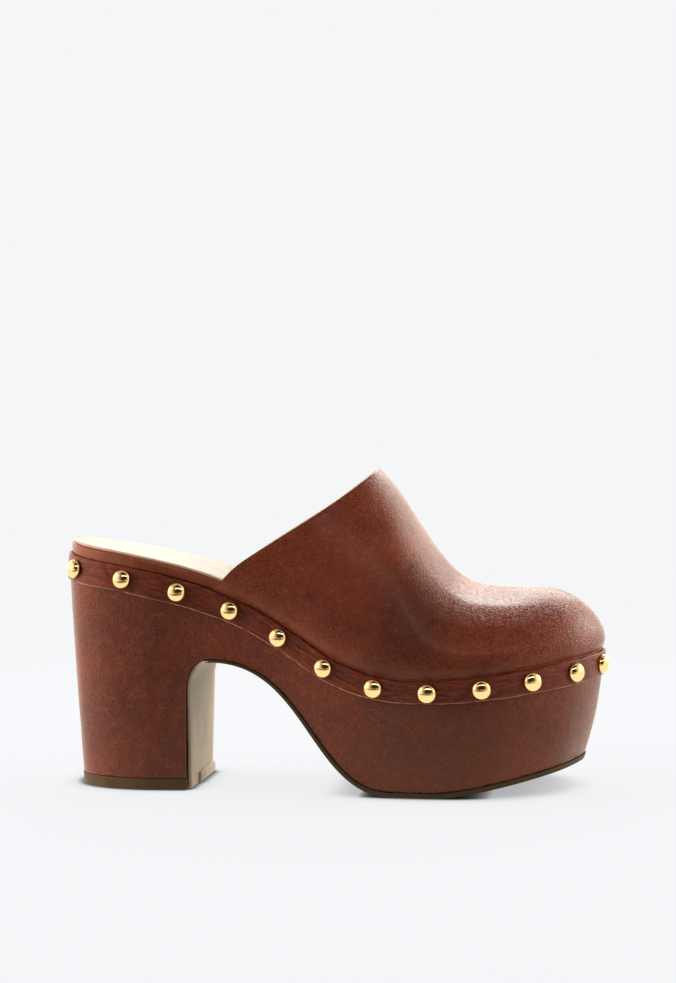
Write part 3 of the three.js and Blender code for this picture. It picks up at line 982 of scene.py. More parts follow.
@dataclass
class Underside:
    """Side view of the shoe's underside, from the lift's top up the breast and to the toe."""

    last: Last
    heel_breast: float = 59
    breast_lean: float = 0.7
    breast_steps: int = 24
    arch_height: float = 55.5
    crown_reach: float = 10
    crown_drop: float = 1.25  # height of the breast's turn into the crown, in crown reaches
    tread_start: float = 147
    tread_length: float = 18
    tread_ease: float = 6
    toe_spring: float = 14
    toe_past: float = 2  # how far past the toe the side view runs
    sole: float = 2.2
    flap: float = 1.2
    lift: float = 4.9
    gap: float = 0.3
    settling: int = 5  # rounds in which a wall point's height settles on the side view
    arch_sections: int = 90
    toe_sections: int = 110

    def __post_init__(self) -> None:
        """Work out the side view once: a straight breast, then four curves."""
        breast, top, tread = self.heel_breast, self.arch_height, self.tread_start
        crown = breast + self.crown_reach
        end = tread + self.tread_length
        tip = self.last.length + self.toe_past
        arch = tread - crown
        toe = self.last.length - end
        hollow = self.crown_drop * self.crown_reach
        self.foot = breast - self.breast_lean
        self.knee = top - hollow
        bends = (
            Bend(22, (breast, self.knee), (breast, top - 0.35 * hollow),
                 (crown - 0.6 * self.crown_reach, top), (crown, top)),
            Bend(96, (crown, top), (crown + 0.54 * arch, top), (crown + 0.56 * arch, 0),
                 (tread, 0)),
            Bend(16, (tread, 0), (tread + self.tread_ease, 0), (end - self.tread_ease, 0),
                 (end, 0)),
            Bend(60, (end, 0), (end + 0.15 * toe, 0), (end + 0.58 * toe, 0.52 * self.toe_spring),
                 (tip, 1.02 * self.toe_spring)),
        )
        foot = Vector((self.foot, 0, self.lift + self.gap))
        knee = Vector((breast, 0, self.knee))
        steps = self.breast_steps
        self.path = [foot] + [foot.lerp(knee, i / steps) for i in range(1, steps + 1)]
        for bend in bends:
            corners = [Vector((x, 0, z)) for x, z in bend[1:]]
            self.path += interpolate_bezier(*corners, bend.steps + 1)[1:]

    def inside(self, clearance: float) -> list[Vector]:
        """The side view moved into the shoe by the rubber's thickness and a clearance."""
        moved = []
        for i, point in enumerate(self.path):
            before = self.path[max(i - 1, 0)]
            after = self.path[min(i + 1, len(self.path) - 1)]
            along = (after - before).normalized()
            forward = clamp((point.x - self.heel_breast) / (self.tread_start - self.heel_breast))
            depth = self.flap + (self.sole - self.flap) * forward * forward + clearance
            moved.append(Vector((point.x - along.z * depth, 0, point.z + along.x * depth)))
        return moved

    def place(self, path: Sequence[Vector], x: float, z: Optional[float], side: Side,
              out: float) -> Vector:
        """Point where a side view's line meets the wall of one side.

        Args:
            path: The side view's line.
            x: Distance from the heel, on the plan outline.
            z: Height, or None where the line gives it.
            side: Side of the foot.
            out: How far outside the wall the point lies.

        Returns:
            The point in millimetres.
        """
        at = self.last.at_x(x, side)
        if z is not None:
            return self.last.wall(at, z, out)
        xs = [p.x for p in path]
        zs = [p.z for p in path]
        height = float(np.interp(x, xs, zs))
        for _ in range(self.settling):
            reached = self.last.wall(at, height, 0.0)
            height = float(np.interp(reached.x, xs, zs))
        return self.last.wall(at, height, out)

    def columns(self, clearance: Optional[float]) -> tuple[list[Vector], list[Any]]:
        """Sections from the foot of the breast to the toe.

        Args:
            clearance: Clearance over the rubber, or None for the underside itself.

        Returns:
            The run of the line ahead of the crown, and a (distance, height or None) pair for
            each section.
        """
        line = self.path if clearance is None else self.inside(clearance)
        crown = self.heel_breast + self.crown_reach - 0.01
        bend = next(i for i, p in enumerate(self.path) if p.x > crown)
        pairs = [(p.x, p.z) for p in line[: bend + 1]]
        run = line[bend:]
        for start, end, count in (
            (run[0].x, self.tread_start, self.arch_sections),
            (self.tread_start, self.last.tip_x, self.toe_sections),
        ):
            pairs += [(x, None) for x in self.last.sections(start, end, count)[1:]]
        return run, pairs


@dataclass
class Platform:
    """Wooden platform and block heel, covered with one sheet of leather."""

    last: Last
    under: Underside
    fold: float = 0.5  # rounding of the leather at the lower edges
    fold_steps: int = 3
    waves: tuple[Wave, ...] = (Wave(0.07, 9.0, 1.3), Wave(0.05, 3.5, 4.1))
    floor_rows: int = 6
    wall_rows: int = 54
    top_rows: int = 4
    heel_sections: int = 80
    heel_fan: float = 16  # how far back the breast's section leans at the top edge
    crown_fan: float = 5  # how far back the crown's section does
    upright_from: float = 92  # distance from the heel past which the sections stand upright
    breast_depth: float = 4  # how far from the breast's foot its faces lie, ahead or behind
    cut_drop: float = 8  # how far under the knee the cut edge begins
    painted_shade_facing: float = 0.93  # how squarely the painted-shade faces beside the flap face the toe
    cut_facing: float = 0.5  # how squarely the cut edge does

    def mesh(self) -> bmesh.types.BMesh:
        """Cover of the platform, closed below and on top."""
        run, pairs = self.under.columns(self.under.gap)
        seat = self.under.lift + self.under.gap
        heel = [(x, seat) for x in self.last.sections(0.0, pairs[0][0], self.heel_sections)]
        lows = heel[:-1] + pairs
        tops = self._tops(lows, len(heel) - 1)
        parts = (self.floor_rows, self.wall_rows, self.top_rows, self.wall_rows)
        sides = (Side.INNER, Side.OUTER)

        def point(i: int, j: int) -> Vector:
            """Point of the section i."""
            x, z = lows[i]
            part, share = part_of(j, parts)
            if part == 0:
                start, end = (self.under.place(run, x, z, side, 0.0) for side in sides)
                return start.lerp(end, share)
            if part == 2:
                feet = [self.last.at_x(tops[i], side) for side in sides]
                start, end = (self.last.wall(at, self.last.top_edge(at.x)) for at in feet)
                return start.lerp(end, 1 - share)
            side = Side.OUTER if part == 1 else Side.INNER
            up = share if part == 1 else 1 - share
            return self._wall_point(run, x, z, tops[i], side, up)

        mesh = wrapped_grid(len(lows) - 1, sum(parts), point)
        face_outwards(mesh)
        round_edges(mesh, self.fold, self.fold_steps)
        ripple(mesh, self.waves)
        return mesh

    def _wall_point(self, run: Sequence[Vector], x: float, z: Optional[float], top_x: float,
                    side: Side, up: float) -> Vector:
        """Point of one wall at a share of the way up."""
        low = self.under.place(run, x, z, side, 0.0)
        high = self.last.top_edge(top_x)
        height = between(low.z, high, up)
        return self.last.wall(self.last.at_x(between(x, top_x, up), side), height)

    def _tops(self, lows: Sequence[Any], heel: int) -> list[float]:
        """Distance from the heel at which each section reaches the top edge."""
        breast = lows[heel][0]
        back = breast - self.heel_fan
        bend = next(i for i, (x, z) in enumerate(lows) if z is None)
        crown = lows[bend][0]
        tops = []
        for i, (x, _) in enumerate(lows):
            if i <= heel:
                tops.append(x * back / breast)
            elif i <= bend:
                tops.append(between(back, crown - self.crown_fan, (i - heel) / (bend - heel)))
            else:
                left = clamp((self.upright_from - x) / (self.upright_from - crown))
                tops.append(x - self.crown_fan * left * left)
        return tops

    def build(self, shop: Workshop) -> None:
        """Make the piece, with a raw cut edge and painted shade beside the flap."""
        mesh = self.mesh()
        mesh.normal_update()
        cut_top = self.under.knee - self.cut_drop
        for face in mesh.faces:
            middle = face.calc_center_median()
            if abs(middle.x - self.under.foot) > self.breast_depth or middle.z > cut_top:
                continue
            # faces beside the flap take the dark rubber colour as painted shade
            if face.normal.x > self.painted_shade_facing:
                face.material_index = 2
            elif face.normal.x > self.cut_facing:
                face.material_index = 1
        shop.piece(
            "platform_cover", mesh, [Finish.WRAP, Finish.RAW_EDGE, Finish.OUTSOLE],
            "platform_leather", ["platform"],
        )


@dataclass
class Outsole:
    """Thin rubber sheet from the toe over the arch and down the heel breast."""

    last: Last
    under: Underside
    lip: float = 0.5
    edge_soft: float = 0.3
    across: int = 10
    edge_rows: int = 3
    ground: tuple[float, ...] = (0.3, 1.8, 3.4)  # heights of the flap's rows beside the lift
    flap_margin: float = 0.8
    flap_narrowing: float = 2.2  # how much narrower the flap gets down to the ground
    flap_wave: Wave = Wave(0.5, 9.0, 8.8)
    sanded_reach: float = 0.8  # how far past the breast it is sanded, in crown reaches
    sanded_rise: float = 0.5

    def _lip(self, x: float) -> float:
        """How far the rubber reaches outside the wall."""
        crown = self.under.heel_breast + self.under.crown_reach
        flap = clamp((crown - x) / self.under.crown_reach)
        return self.lip - (self.lip + self.flap_margin) * flap

    def _narrowed(self, z: Optional[float]) -> float:
        """How far the flap's cut edge stays back, a little wavy, at a height."""
        if z is None:
            return 0.0
        down = clamp(1 - z / self.under.knee)
        return down * (self.flap_narrowing + self.flap_wave.at(Vector((0, 0, z))))

    def mesh(self) -> bmesh.types.BMesh:
        """Closed sheet of rubber, down to the ground in front of the lift."""
        low_run, lows = self.under.columns(None)
        high_run, highs = self.under.columns(0.0)
        lows = [(lows[0][0], z) for z in self.ground] + lows
        highs = [(highs[0][0], z) for z in self.ground] + highs
        parts = (self.across, self.edge_rows, self.across, self.edge_rows)
        corners = (
            (Side.INNER, low_run, lows), (Side.OUTER, low_run, lows),
            (Side.OUTER, high_run, highs), (Side.INNER, high_run, highs),
        )

        def corner(i: int, number: int) -> Vector:
            """One of the four corners of the section i."""
            side, run, sections = corners[number % len(corners)]
            x, z = sections[i]
            return self.under.place(run, x, z, side, self._lip(x) - self._narrowed(z))

        def point(i: int, j: int) -> Vector:
            """Point of the section i."""
            part, share = part_of(j, parts)
            return corner(i, part).lerp(corner(i, part + 1), share)

        mesh = wrapped_grid(len(lows) - 1, sum(parts), point)
        close_ends(mesh)
        round_edges(mesh, self.edge_soft, 2)
        return mesh

    def build(self, shop: Workshop) -> None:
        """Make the piece, its heel flap sanded paler."""
        mesh = self.mesh()
        mesh.normal_update()
        flap_top = self.under.arch_height + self.sanded_rise
        flap_end = self.under.heel_breast + self.sanded_reach * self.under.crown_reach
        for face in mesh.faces:
            middle = face.calc_center_median()
            face.material_index = 1 if middle.x < flap_end and middle.z < flap_top else 0
        shop.piece(
            "outsole_sheet", mesh, [Finish.OUTSOLE, Finish.FLAP], "outsole_rubber", ["outsole"]
        )


@dataclass
class HeelLift:
    """Rubber lift under the heel, with the small raised tab at the foot of the breast."""

    last: Last
    under: Underside
    proud: float = 0.2
    front_gap: float = 0.15
    edge_soft: float = 0.35
    levels: int = 6
    side_steps: int = 70
    front_steps: int = 40
    tab_width: float = 32
    tab_middle: float = 7.6
    tab_height: float = 4.4
    tab_floor: float = 0.2
    tab_proud: float = 1.3
    tab_soft: float = 0.4

    def mesh(self) -> bmesh.types.BMesh:
        """Closed block with rounded edges."""
        front = self.under.foot - self.under.flap - self.front_gap
        half = self.side_steps
        xs = self.last.sections(0.0, front, half)
        corners = [self.last.at_x(front, side) for side in (Side.INNER, Side.OUTER)]

        def point(i: int, j: int) -> Vector:
            """Point of the block's wall: once round the heel and back along the breast."""
            z = self.under.lift * j / self.levels
            if i > 2 * half:
                start, end = (self.last.wall(at, z, self.proud) for at in corners)
                return start.lerp(end, (i - 2 * half) / self.front_steps)
            side = Side.OUTER if i <= half else Side.INNER
            return self.last.wall(self.last.at_x(xs[abs(i - half)], side), z, self.proud)

        mesh = wrapped_grid(2 * half + self.front_steps, self.levels, point)
        close_ends(mesh)
        round_edges(mesh, self.edge_soft, 3)
        return mesh

    def tab(self) -> bmesh.types.BMesh:
        """Raised tab at the foot of the flap."""
        mesh = bmesh.new()
        bmesh.ops.create_cube(mesh, size=1.0)
        size = (2 * self.tab_proud, self.tab_width, self.tab_height)
        bmesh.ops.scale(mesh, vec=size, verts=mesh.verts)
        middle = Vector((self.under.foot, self.tab_middle, self.tab_height / 2 + self.tab_floor))
        bmesh.ops.translate(mesh, vec=middle, verts=mesh.verts)
        bmesh.ops.bevel(
            mesh, geom=mesh.edges[:], offset=self.tab_soft, offset_type="OFFSET", segments=3,
            profile=0.5, affect="EDGES", material=-1,
        )
        return mesh

    def build(self, shop: Workshop) -> None:
        """Make the lift and its tab."""
        shop.piece("heel_lift_block", self.mesh(), [Finish.LIFT], "lift_rubber", ["heel_lift"])
        shop.piece("heel_lift_tab", self.tab(), [Finish.FLAP], "lift_rubber")


@dataclass
class Band:
    """Flat leather band nailed over the joint of the platform and the upper."""

    last: Last
    thickness: float = 1
    edge_soft: float = 0.5
    crown: float = 0.1
    lip: float = 0.6
    gap: float = 0.3
    steps: int = 640
    face_rows: int = 22
    edge_rows: int = 4
    cut_facing: float = -0.2  # faces that look down more than this are its cut lower edge
    slope_step: float = 0.5
    box_steps: int = 720
    box_shares: tuple[float, ...] = (0.034, 0.5, 0.966)  # where the solid band's face is flat
    dent: float = 0.28  # how deep a stud presses the leather in
    dent_reach: float = 5.2
    crease: float = 0.26
    crease_width: float = 0.09  # as a share of the wave that lays it out
    crease_wave: Wave = Wave(1.0, 13.0, 2.2)
    crease_clear: tuple[float, float] = (3.6, 6.0)  # distance from a stud over which it grows
    drawn: float = 5.0  # how many times longer than high the creases are
    swell_wave: Wave = Wave(0.09, 6.0, 7.7)

    def span(self, at: Place) -> tuple[float, float]:
        """Heights of the band's lower and upper edge."""
        step = self.slope_step
        slope = (self.last.top_edge(at.x + step) - self.last.top_edge(at.x - step)) / (2 * step)
        run = slope * abs(at.ny)
        width = self.last.band_width * EDGE_BAND(at.x / self.last.length)
        high = self.last.top_edge(at.x) + self.lip
        return high - width * math.sqrt(1 + run * run), high

    def on_face(self, at: Place, share: float, out: float) -> Vector:
        """Point of the band at a share of its width from its lower edge."""
        low, high = self.span(at)
        return self.last.wall(at, between(low, high, share), self.gap + out)

    def seat_frame(self) -> None:
        """Lay the shoe's own outline on the frame by the band's box."""
        points = []
        for i in range(self.box_steps):
            at = self.last.at_share(i / self.box_steps)
            points += [self.on_face(at, share, self.thickness) for share in self.box_shares]
        low = Vector([min(p[k] for p in points) for k in range(3)])
        high = Vector([max(p[k] for p in points) for k in range(3)])
        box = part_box("band")
        self.last.seat_in(box[0] / MM, box[1] / MM, low, high)
        LOG.info("frame shift: %s mm", tuple(round(v, 3) for v in self.last.shift))

    def mesh(self, studs: Sequence[Vector]) -> bmesh.types.BMesh:
        """Closed band, pressed in a little round each stud.

        Args:
            studs: Middles of the studs, in mm.

        Returns:
            The mesh in millimetres. Faces of the cut lower edge have material 1.
        """
        places = [self.last.at_share(i / self.steps) for i in range(self.steps)]
        rows = self.face_rows + 2 * self.edge_rows + 2
        soft = self.edge_soft

        def point(i: int, j: int) -> Vector:
            """Point of the band's section: up the face, over, and down the back."""
            at = places[i % self.steps]
            j = j % rows
            low, high = self.span(at)
            edge = soft / (high - low)
            if j < self.edge_rows:
                turn = math.pi / 2 * j / self.edge_rows
                out = self.thickness - soft + soft * math.sin(turn)
                return self.on_face(at, edge * (1 - math.cos(turn)), out)
            j -= self.edge_rows
            if j <= self.face_rows:
                share = between(edge, 1 - edge, j / self.face_rows)
                out = self.thickness + self.crown * math.sin(math.pi * share)
                return self.on_face(at, share, out)
            j -= self.face_rows
            if j <= self.edge_rows:
                turn = math.pi / 2 * j / self.edge_rows
                out = self.thickness - soft + soft * math.cos(turn)
                return self.on_face(at, 1 - edge * (1 - math.sin(turn)), out)
            return self.on_face(at, 1.0 if j == self.edge_rows + 1 else 0.0, 0.0)

        mesh = wrapped_grid(self.steps, rows, point)
        face_outwards(mesh)
        for face in mesh.faces:
            over = self._height(face.calc_center_median())
            if face.normal.z < self.cut_facing and over < -self.last.band_width / 2:
                face.material_index = 1
        self._dress(mesh, studs)
        return mesh

    def _dress(self, mesh: bmesh.types.BMesh, studs: Sequence[Vector]) -> None:
        """Crease the face lengthwise and sink it round the studs."""
        spots = np.array([tuple(s) for s in studs])

        def depth(point: Vector) -> float:
            """Relief of the band's face."""
            near = float(np.min(np.linalg.norm(spots - np.array(point), axis=1)))
            dent = -self.dent * math.exp(-((near / self.dent_reach) ** 2))
            drawn = Vector((point.x, point.y, self.drawn * self._height(point)))
            wave = self.crease_wave.at(drawn)
            crease = -self.crease * math.exp(-((wave / self.crease_width) ** 2))
            crease *= soft_step(*self.crease_clear, near)
            return dent + crease + self.swell_wave.at(drawn)

        press(mesh, depth)

    def _height(self, point: Vector) -> float:
        """Height of a point over the platform's top edge."""
        return point.z - self.last.top_edge(point.x)

    def build(self, shop: Workshop, studs: Sequence[Vector]) -> None:
        """Make the piece."""
        mesh = self.mesh(studs)
        rises = [self._height(vert.co) for vert in mesh.verts]
        strip = shop.piece(
            "band_strip", mesh, [Finish.BAND, Finish.RAW_EDGE], "band_leather", ["band"]
        )
        rise = strip.data.attributes.new("rise", "FLOAT", "POINT")
        rise.data.foreach_set("value", rises)


@dataclass
class Studs:
    """Domed nails through the band."""

    last: Last
    band: Band
    per_side: int = 12
    first: tuple[float, float] = (0.068, 0.053)  # shares of the outer and inner side
    end: tuple[float, float] = (0.971, 0.943)
    spread: float = 0.023  # how far the middle ones are moved towards the toe
    samples: int = 2000
    diameter: float = 8.2
    height: float = 3.15
    clearance: float = 0.2
    sunk: float = 0.15  # how far the rim goes into the leather
    skirt: float = 0.45
    skirt_slope: float = 0.1
    rim: float = 0.25
    fullness: float = 0.94  # below 1, the dome is fuller than an ellipse
    dome_steps: int = 12
    turns: int = 40

    def places(self) -> list[Place]:
        """Outline points of the studs: the outer side from the heel, then the inner side."""
        middles = []
        for i in range(self.samples + 1):
            at = self.last.at_share(i / self.samples)
            low, high = self.band.span(at)
            middles.append(tuple(self.last.wall(at, (low + high) / 2)))
        gaps = np.linalg.norm(np.diff(np.array(middles), axis=0), axis=1)
        runs = np.concatenate([[0.0], np.cumsum(gaps)])
        runs /= runs[-1]
        shares = np.linspace(0, 1, self.samples + 1)
        toe = float(np.interp(self.last.toe_share, shares, runs))
        found = []
        for row in range(2):
            for i in range(self.per_side):
                step = i / (self.per_side - 1)
                along = between(self.first[row], self.end[row], step)
                along += self.spread * math.sin(math.pi * step)
                run = along * toe if row == 0 else 1 - along * (1 - toe)
                found.append(self.last.at_share(float(np.interp(run, runs, shares))))
        return found

    def seat(self, at: Place) -> Matrix:
        """Place of a stud: its back's middle, with its third axis out of the band."""
        foot = self.band.on_face(at, 0.0, self.band.thickness)
        head = self.band.on_face(at, 1.0, self.band.thickness)
        rise = (head - foot).normalized()
        out = Vector((at.nx, at.ny, 0))
        out = (out - rise * out.dot(rise)).normalized()
        middle = foot.lerp(head, 0.5) + out * self.clearance
        across = rise.cross(out)
        turned = Matrix((across, rise, out)).transposed().to_4x4()
        return Matrix.Translation(middle) @ turned

    def dome(self) -> bmesh.types.BMesh:
        """Domed head with a small rolled rim, standing on the band."""
        mesh = bmesh.new()
        radius = self.diameter / 2
        foot = -self.clearance - self.sunk
        corners = [(radius - self.rim, foot), (radius, foot + self.rim),
                   (radius, self.skirt - self.skirt_slope)]
        for i in range(self.dome_steps + 1):
            turn = math.pi / 2 * i / self.dome_steps
            swell = math.sin(turn) ** self.fullness
            rise = self.skirt + (self.height - self.skirt) * swell
            corners.append((radius * math.cos(turn), rise))
        line = [mesh.verts.new((x, 0, z)) for x, z in corners]
        edges = [mesh.edges.new(pair) for pair in zip(line, line[1:])]
        bmesh.ops.spin(
            mesh, geom=line + edges, cent=(0, 0, 0), axis=(0, 0, 1), dvec=(0, 0, 0),
            angle=2 * math.pi, steps=self.turns, use_merge=True,
        )
        bmesh.ops.remove_doubles(mesh, verts=mesh.verts, dist=TOUCHING)
        close_ends(mesh)
        return mesh

    def middles(self) -> list[Vector]:
        """Middles of the studs' backs."""
        return [self.seat(at).translation for at in self.places()]

    def build(self, shop: Workshop) -> None:
        """Make every stud."""
        for number, at in enumerate(self.places(), start=1):
            mesh = self.dome()
            bmesh.ops.transform(mesh, matrix=self.seat(at), verts=mesh.verts)
            node = f"stud_{number:02d}"
            shop.piece(f"{node}_dome", mesh, [Finish.STUD], "stud_brass", [node])


@dataclass
class Insole:
    """Leather-covered board on the platform, with a sock glued on it."""

    last: Last
    rim: float = 5.2
    rim_roundness: float = 1.4
    gap: float = 0.3
    upper_wall: float = 1.9
    narrow_from: float = 0.15  # share of the length at which the board begins to fit the upper
    narrow_over: float = 0.08
    sock: float = 1
    sock_pad: float = 0.1
    sock_sink: float = 0.25  # how far the sock is pressed into the board
    sock_margin: float = 0.8
    sock_hollow: float = 0.5
    sock_roundness: float = 0.5
    sock_waves: tuple[Wave, ...] = (Wave(0.05, 7.0, 5.5),)
    cut_facing: float = 0.75  # faces that look up less than this are the sock's cut edge
    sections: int = 240
    across: int = 26
    edge_power: float = 0.8  # how the rows gather at the top of an edge

    def _reach(self, x: float) -> float:
        """How far the board reaches outside the platform's wall: inside the upper, less."""
        narrowed = clamp((x / self.last.length - self.narrow_from) / self.narrow_over)
        return -(self.upper_wall + self.gap) * narrowed

    def _layer(self, low: float, high: float, inset: float, edge_rows: int, crown: float,
               roundness: float) -> bmesh.types.BMesh:
        """Closed layer over the platform's top.

        Args:
            low: Height of its underside over the platform's top edge.
            high: Height of its top.
            inset: How far it stays inside the board's own edge.
            edge_rows: Steps up its edge.
            crown: How far its top rises in the middle.
            roundness: Radius of its upper edge.

        Returns:
            The mesh in millimetres.
        """
        xs = self.last.sections(0.0, self.last.tip_x, self.sections)
        parts = (self.across, edge_rows, self.across, edge_rows)

        def edge(x: float, side: Side, up: float) -> Vector:
            """Point of the layer's edge at a share of its height."""
            at = self.last.at_x(x, side)
            height = between(low, high, up)
            back = 0.0
            left = high - height
            if left < roundness:
                back = roundness - math.sqrt(max(roundness**2 - (roundness - left) ** 2, 0.0))
            out = self._reach(at.x) - inset - back
            point = self.last.wall(at, self.last.top_edge(at.x), out)
            point.z += height
            return point

        def point(i: int, j: int) -> Vector:
            """Point of the section i."""
            x = xs[i]
            part, share = part_of(j, parts)
            if part == 0:
                return edge(x, Side.INNER, 0.0).lerp(edge(x, Side.OUTER, 0.0), share)
            if part == 1:
                return edge(x, Side.OUTER, math.sin(share * math.pi / 2) ** self.edge_power)
            if part == 2:
                flat = edge(x, Side.OUTER, 1.0).lerp(edge(x, Side.INNER, 1.0), share)
                flat.z += crown * math.sin(math.pi * share)
                return flat
            return edge(x, Side.INNER, math.cos(share * math.pi / 2) ** self.edge_power)

        mesh = wrapped_grid(len(xs) - 1, sum(parts), point)
        face_outwards(mesh)
        return mesh

    def build(self, shop: Workshop) -> None:
        """Make the board and the sock."""
        board = self._layer(
            low=self.gap, high=self.gap + self.rim, inset=0.0, edge_rows=12, crown=0.0,
            roundness=self.rim_roundness,
        )
        shop.piece("insole_rim", board, [Finish.RIM], "rim_leather", ["insole_board"])
        low = 2 * self.gap + self.rim - self.sock_sink
        sock = self._layer(
            low=low, high=low + self.sock + self.sock_pad, inset=self.sock_margin, edge_rows=5,
            crown=-self.sock_hollow, roundness=self.sock_roundness,
        )
        ripple(sock, self.sock_waves)
        for face in sock.faces:
            if face.normal.z < self.cut_facing:
                face.material_index = 1
        shop.piece(
            "insole_sock_leather", sock, [Finish.SOCK, Finish.SOCK_EDGE], "sock_leather",
            ["insole_sock"],
        )


class Station(NamedTuple):
    """Section of the vamp: its arch's feet, its ridge point and the ridge's slope factor."""

    outer: Place
    inner: Place
    ridge: Vector
    slope: float


@dataclass
class Upper:
    """One-piece leather vamp with its lining, open at the back and underneath."""

    last: Last
    height: float = 89
    wall: float = 1.9
    leather: float = 1.3
    waves: tuple[Wave, ...] = (Wave(0.05, 12.0, 3.1), Wave(0.03, 5.0, 6.4))
    edge_soft: float = 0.45
    edge_turn: float = 55  # least turn of an edge that is rounded, in degrees
    arch_power: float = 1.35  # how slowly the arch's rows leave its feet
    bulge_height: float = 9
    bulge: float = 2
    lip: float = 0.6
    gap: float = 0.3
    topline_turn: float = 9
    topline_lean: float = 0.8  # rise of the topline over its run, past its table's end
    inner_cut: float = 4.4  # how much further forward the inner side is cut, halfway out
    inner_half: float = 30  # how far from the middle halfway out is
    toe_cap: float = 27
    toe_blend: float = 5
    shoulder_start: tuple[float, float] = (0.65, 0.76)  # where it rises, along the length
    shoulder_end: tuple[float, float] = (0.82, 0.905)
    shoulder_top: float = 1.02
    shoulder_slope: float = 0.35
    shoulder_soft: float = 0.006
    shoulder_inner: float = 0.6  # how much of it the inner side has
    start: float = 0.2  # where the stations begin, as a share of the length
    slope_step: float = 0.002
    search_steps: int = 24
    row_power: float = 0.8
    columns: int = 176
    rows: int = 256
    lining_gap: float = 0.05
    lining_low: float = 0.55  # how far under the leather's cut edge the lining ends
    lining_columns: int = 90
    lining_rows: int = 130

    def _ridge(self, along: float) -> float:
        """Height of the ridge over the floor."""
        return self.last.ball_height + self.height * RIDGE_HEIGHT(along)

    def _station(self, u: float) -> Station:
        """Section at a share of the way to the toe."""
        tip = self.last.tip_x
        first = self.start * self.last.length
        x = first + (tip - first) * math.sin(u * math.pi / 2)
        reach = self.last.length - self.toe_cap
        ridge_x = x - soft_rise(x - reach, self.toe_blend)
        along = ridge_x / self.last.length
        z = self._ridge(along)
        slope = (self._ridge(along + self.slope_step) - z) / (self.slope_step * self.last.length)
        return Station(
            self.last.at_x(x, Side.OUTER),
            self.last.at_x(x, Side.INNER),
            Vector((ridge_x, self.last.ball_width * self.last.toe_tip_across, z)),
            math.sqrt(1 + slope * slope),
        )

    def _swell(self, high: float) -> float:
        """How far the leather swells out over the band."""
        share = max(high - 2 * self.lip, 0) / self.bulge_height
        return self.bulge * share * math.exp(1 - share)

    def _on_arch(self, station: Station, v: float, inset: float) -> Vector:
        """Point of a station's arch, from the outer foot (0) over the ridge to the inner (1)."""
        ridge = station.ridge
        at = station.outer if v <= 0.5 else station.inner
        turn = (2 * min(v, 1 - v)) ** self.arch_power * math.pi / 2
        foot = self.last.wall(at, self.last.top_edge(at.x), -inset)
        over, up = 1 - math.cos(turn), math.sin(turn)
        up = self._flattened(up, 1 - over, ridge.x / self.last.length, v <= 0.5)
        high = (ridge.z - station.slope * inset - foot.z) * up
        swell = self._swell(high)
        return Vector((
            foot.x + (ridge.x - foot.x) * over + at.nx * swell,
            foot.y + (ridge.y - foot.y) * over + at.ny * swell,
            foot.z + max(high, self.gap),
        ))

    def _flattened(self, up: float, away: float, along: float, outer: bool) -> float:
        """Press the top of the toe box to a slope, which leaves a crisp shoulder.

        Args:
            up: Height of the arch here, as a share of its ridge.
            away: Distance from the ridge, as a share of the half width.
            along: Distance of the ridge point from the heel, as a share of the length.
            outer: Whether this is the outer half.

        Returns:
            The new height share.
        """
        share = soft_step(*self.shoulder_start, along) * (1 - soft_step(*self.shoulder_end, along))
        share *= 1.0 if outer else self.shoulder_inner
        slope = self.shoulder_top - self.shoulder_slope * away
        return up - share * soft_rise(up - slope, self.shoulder_soft)

    def _past_topline(self, point: Vector) -> float:
        """How far a point lies in front of the topline, seen along the topline's turn."""
        turn = math.radians(self.topline_turn)
        inner = max(point.y / self.inner_half, 0.0)
        seen = point.x * math.cos(turn) + point.y * math.sin(turn) - self.inner_cut * inner**3
        share = (point.z - self.last.ball_height) / self.height
        over = max(share - TOPLINE[-1].height, 0.0) * self.height / self.topline_lean
        return seen - TOPLINE_ALONG(share) * self.last.length - over

    def _first(self, v: float, inset: float, low: float) -> float:
        """Station share at which an arch line meets the topline, low mm in front of it."""
        near, far = 0.0, 1.0
        for _ in range(self.search_steps):
            middle = (near + far) / 2
            if self._past_topline(self._on_arch(self._station(middle), v, inset)) < low:
                near = middle
            else:
                far = middle
        return (near + far) / 2

    def skin(self, inset: float, low: float, columns: int, rows: int) -> bmesh.types.BMesh:
        """Open skin of the vamp.

        Args:
            inset: How far inside the outer surface it lies.
            low: How far in front of the topline it ends.
            columns: Steps from the topline to the toe.
            rows: Steps from foot to foot.

        Returns:
            The mesh in millimetres, facing out.
        """
        spread = [self._spread(j / rows) for j in range(rows + 1)]
        firsts = [self._first(v, inset, low) for v in spread]

        def point(i: int, j: int) -> Vector:
            """Point of column i and row j."""
            u = between(firsts[j], 1.0, i / columns)
            return self._on_arch(self._station(u), spread[j], inset)

        mesh = wrapped_grid(columns, rows, point)
        face_outwards(mesh)
        return mesh

    def _spread(self, share: float) -> float:
        """Even out the rows over the arch."""
        near = 2 * min(share, 1 - share)
        place = near**self.row_power / 2
        return place if share <= 0.5 else 1 - place

    def build(self, shop: Workshop) -> None:
        """Make the leather and the lining."""
        outside = self.skin(0.0, 0.0, self.columns, self.rows)
        ripple(outside, self.waves)
        vamp = shop.piece("upper_vamp", outside, [Finish.UPPER], "upper_leather", ["upper"])
        depth = self.leather + self.lining_gap
        inside = self.skin(depth, self.lining_low, self.lining_columns, self.lining_rows)
        lining = shop.piece("upper_lining", inside, [Finish.SOCK], "sock_leather")
        left = self.wall - self.leather - self.lining_gap
        for piece, thickness, even in ((vamp, self.leather, True), (lining, left, False)):
            wall = piece.modifiers.new("thickness", "SOLIDIFY")
            wall.thickness = thickness * MM
            wall.offset = -1
            wall.use_even_offset = even
        soft = vamp.modifiers.new("turned_edge", "BEVEL")
        soft.width = self.edge_soft * MM
        soft.segments = 3
        soft.limit_method = "ANGLE"
        soft.angle_limit = math.radians(self.edge_turn)


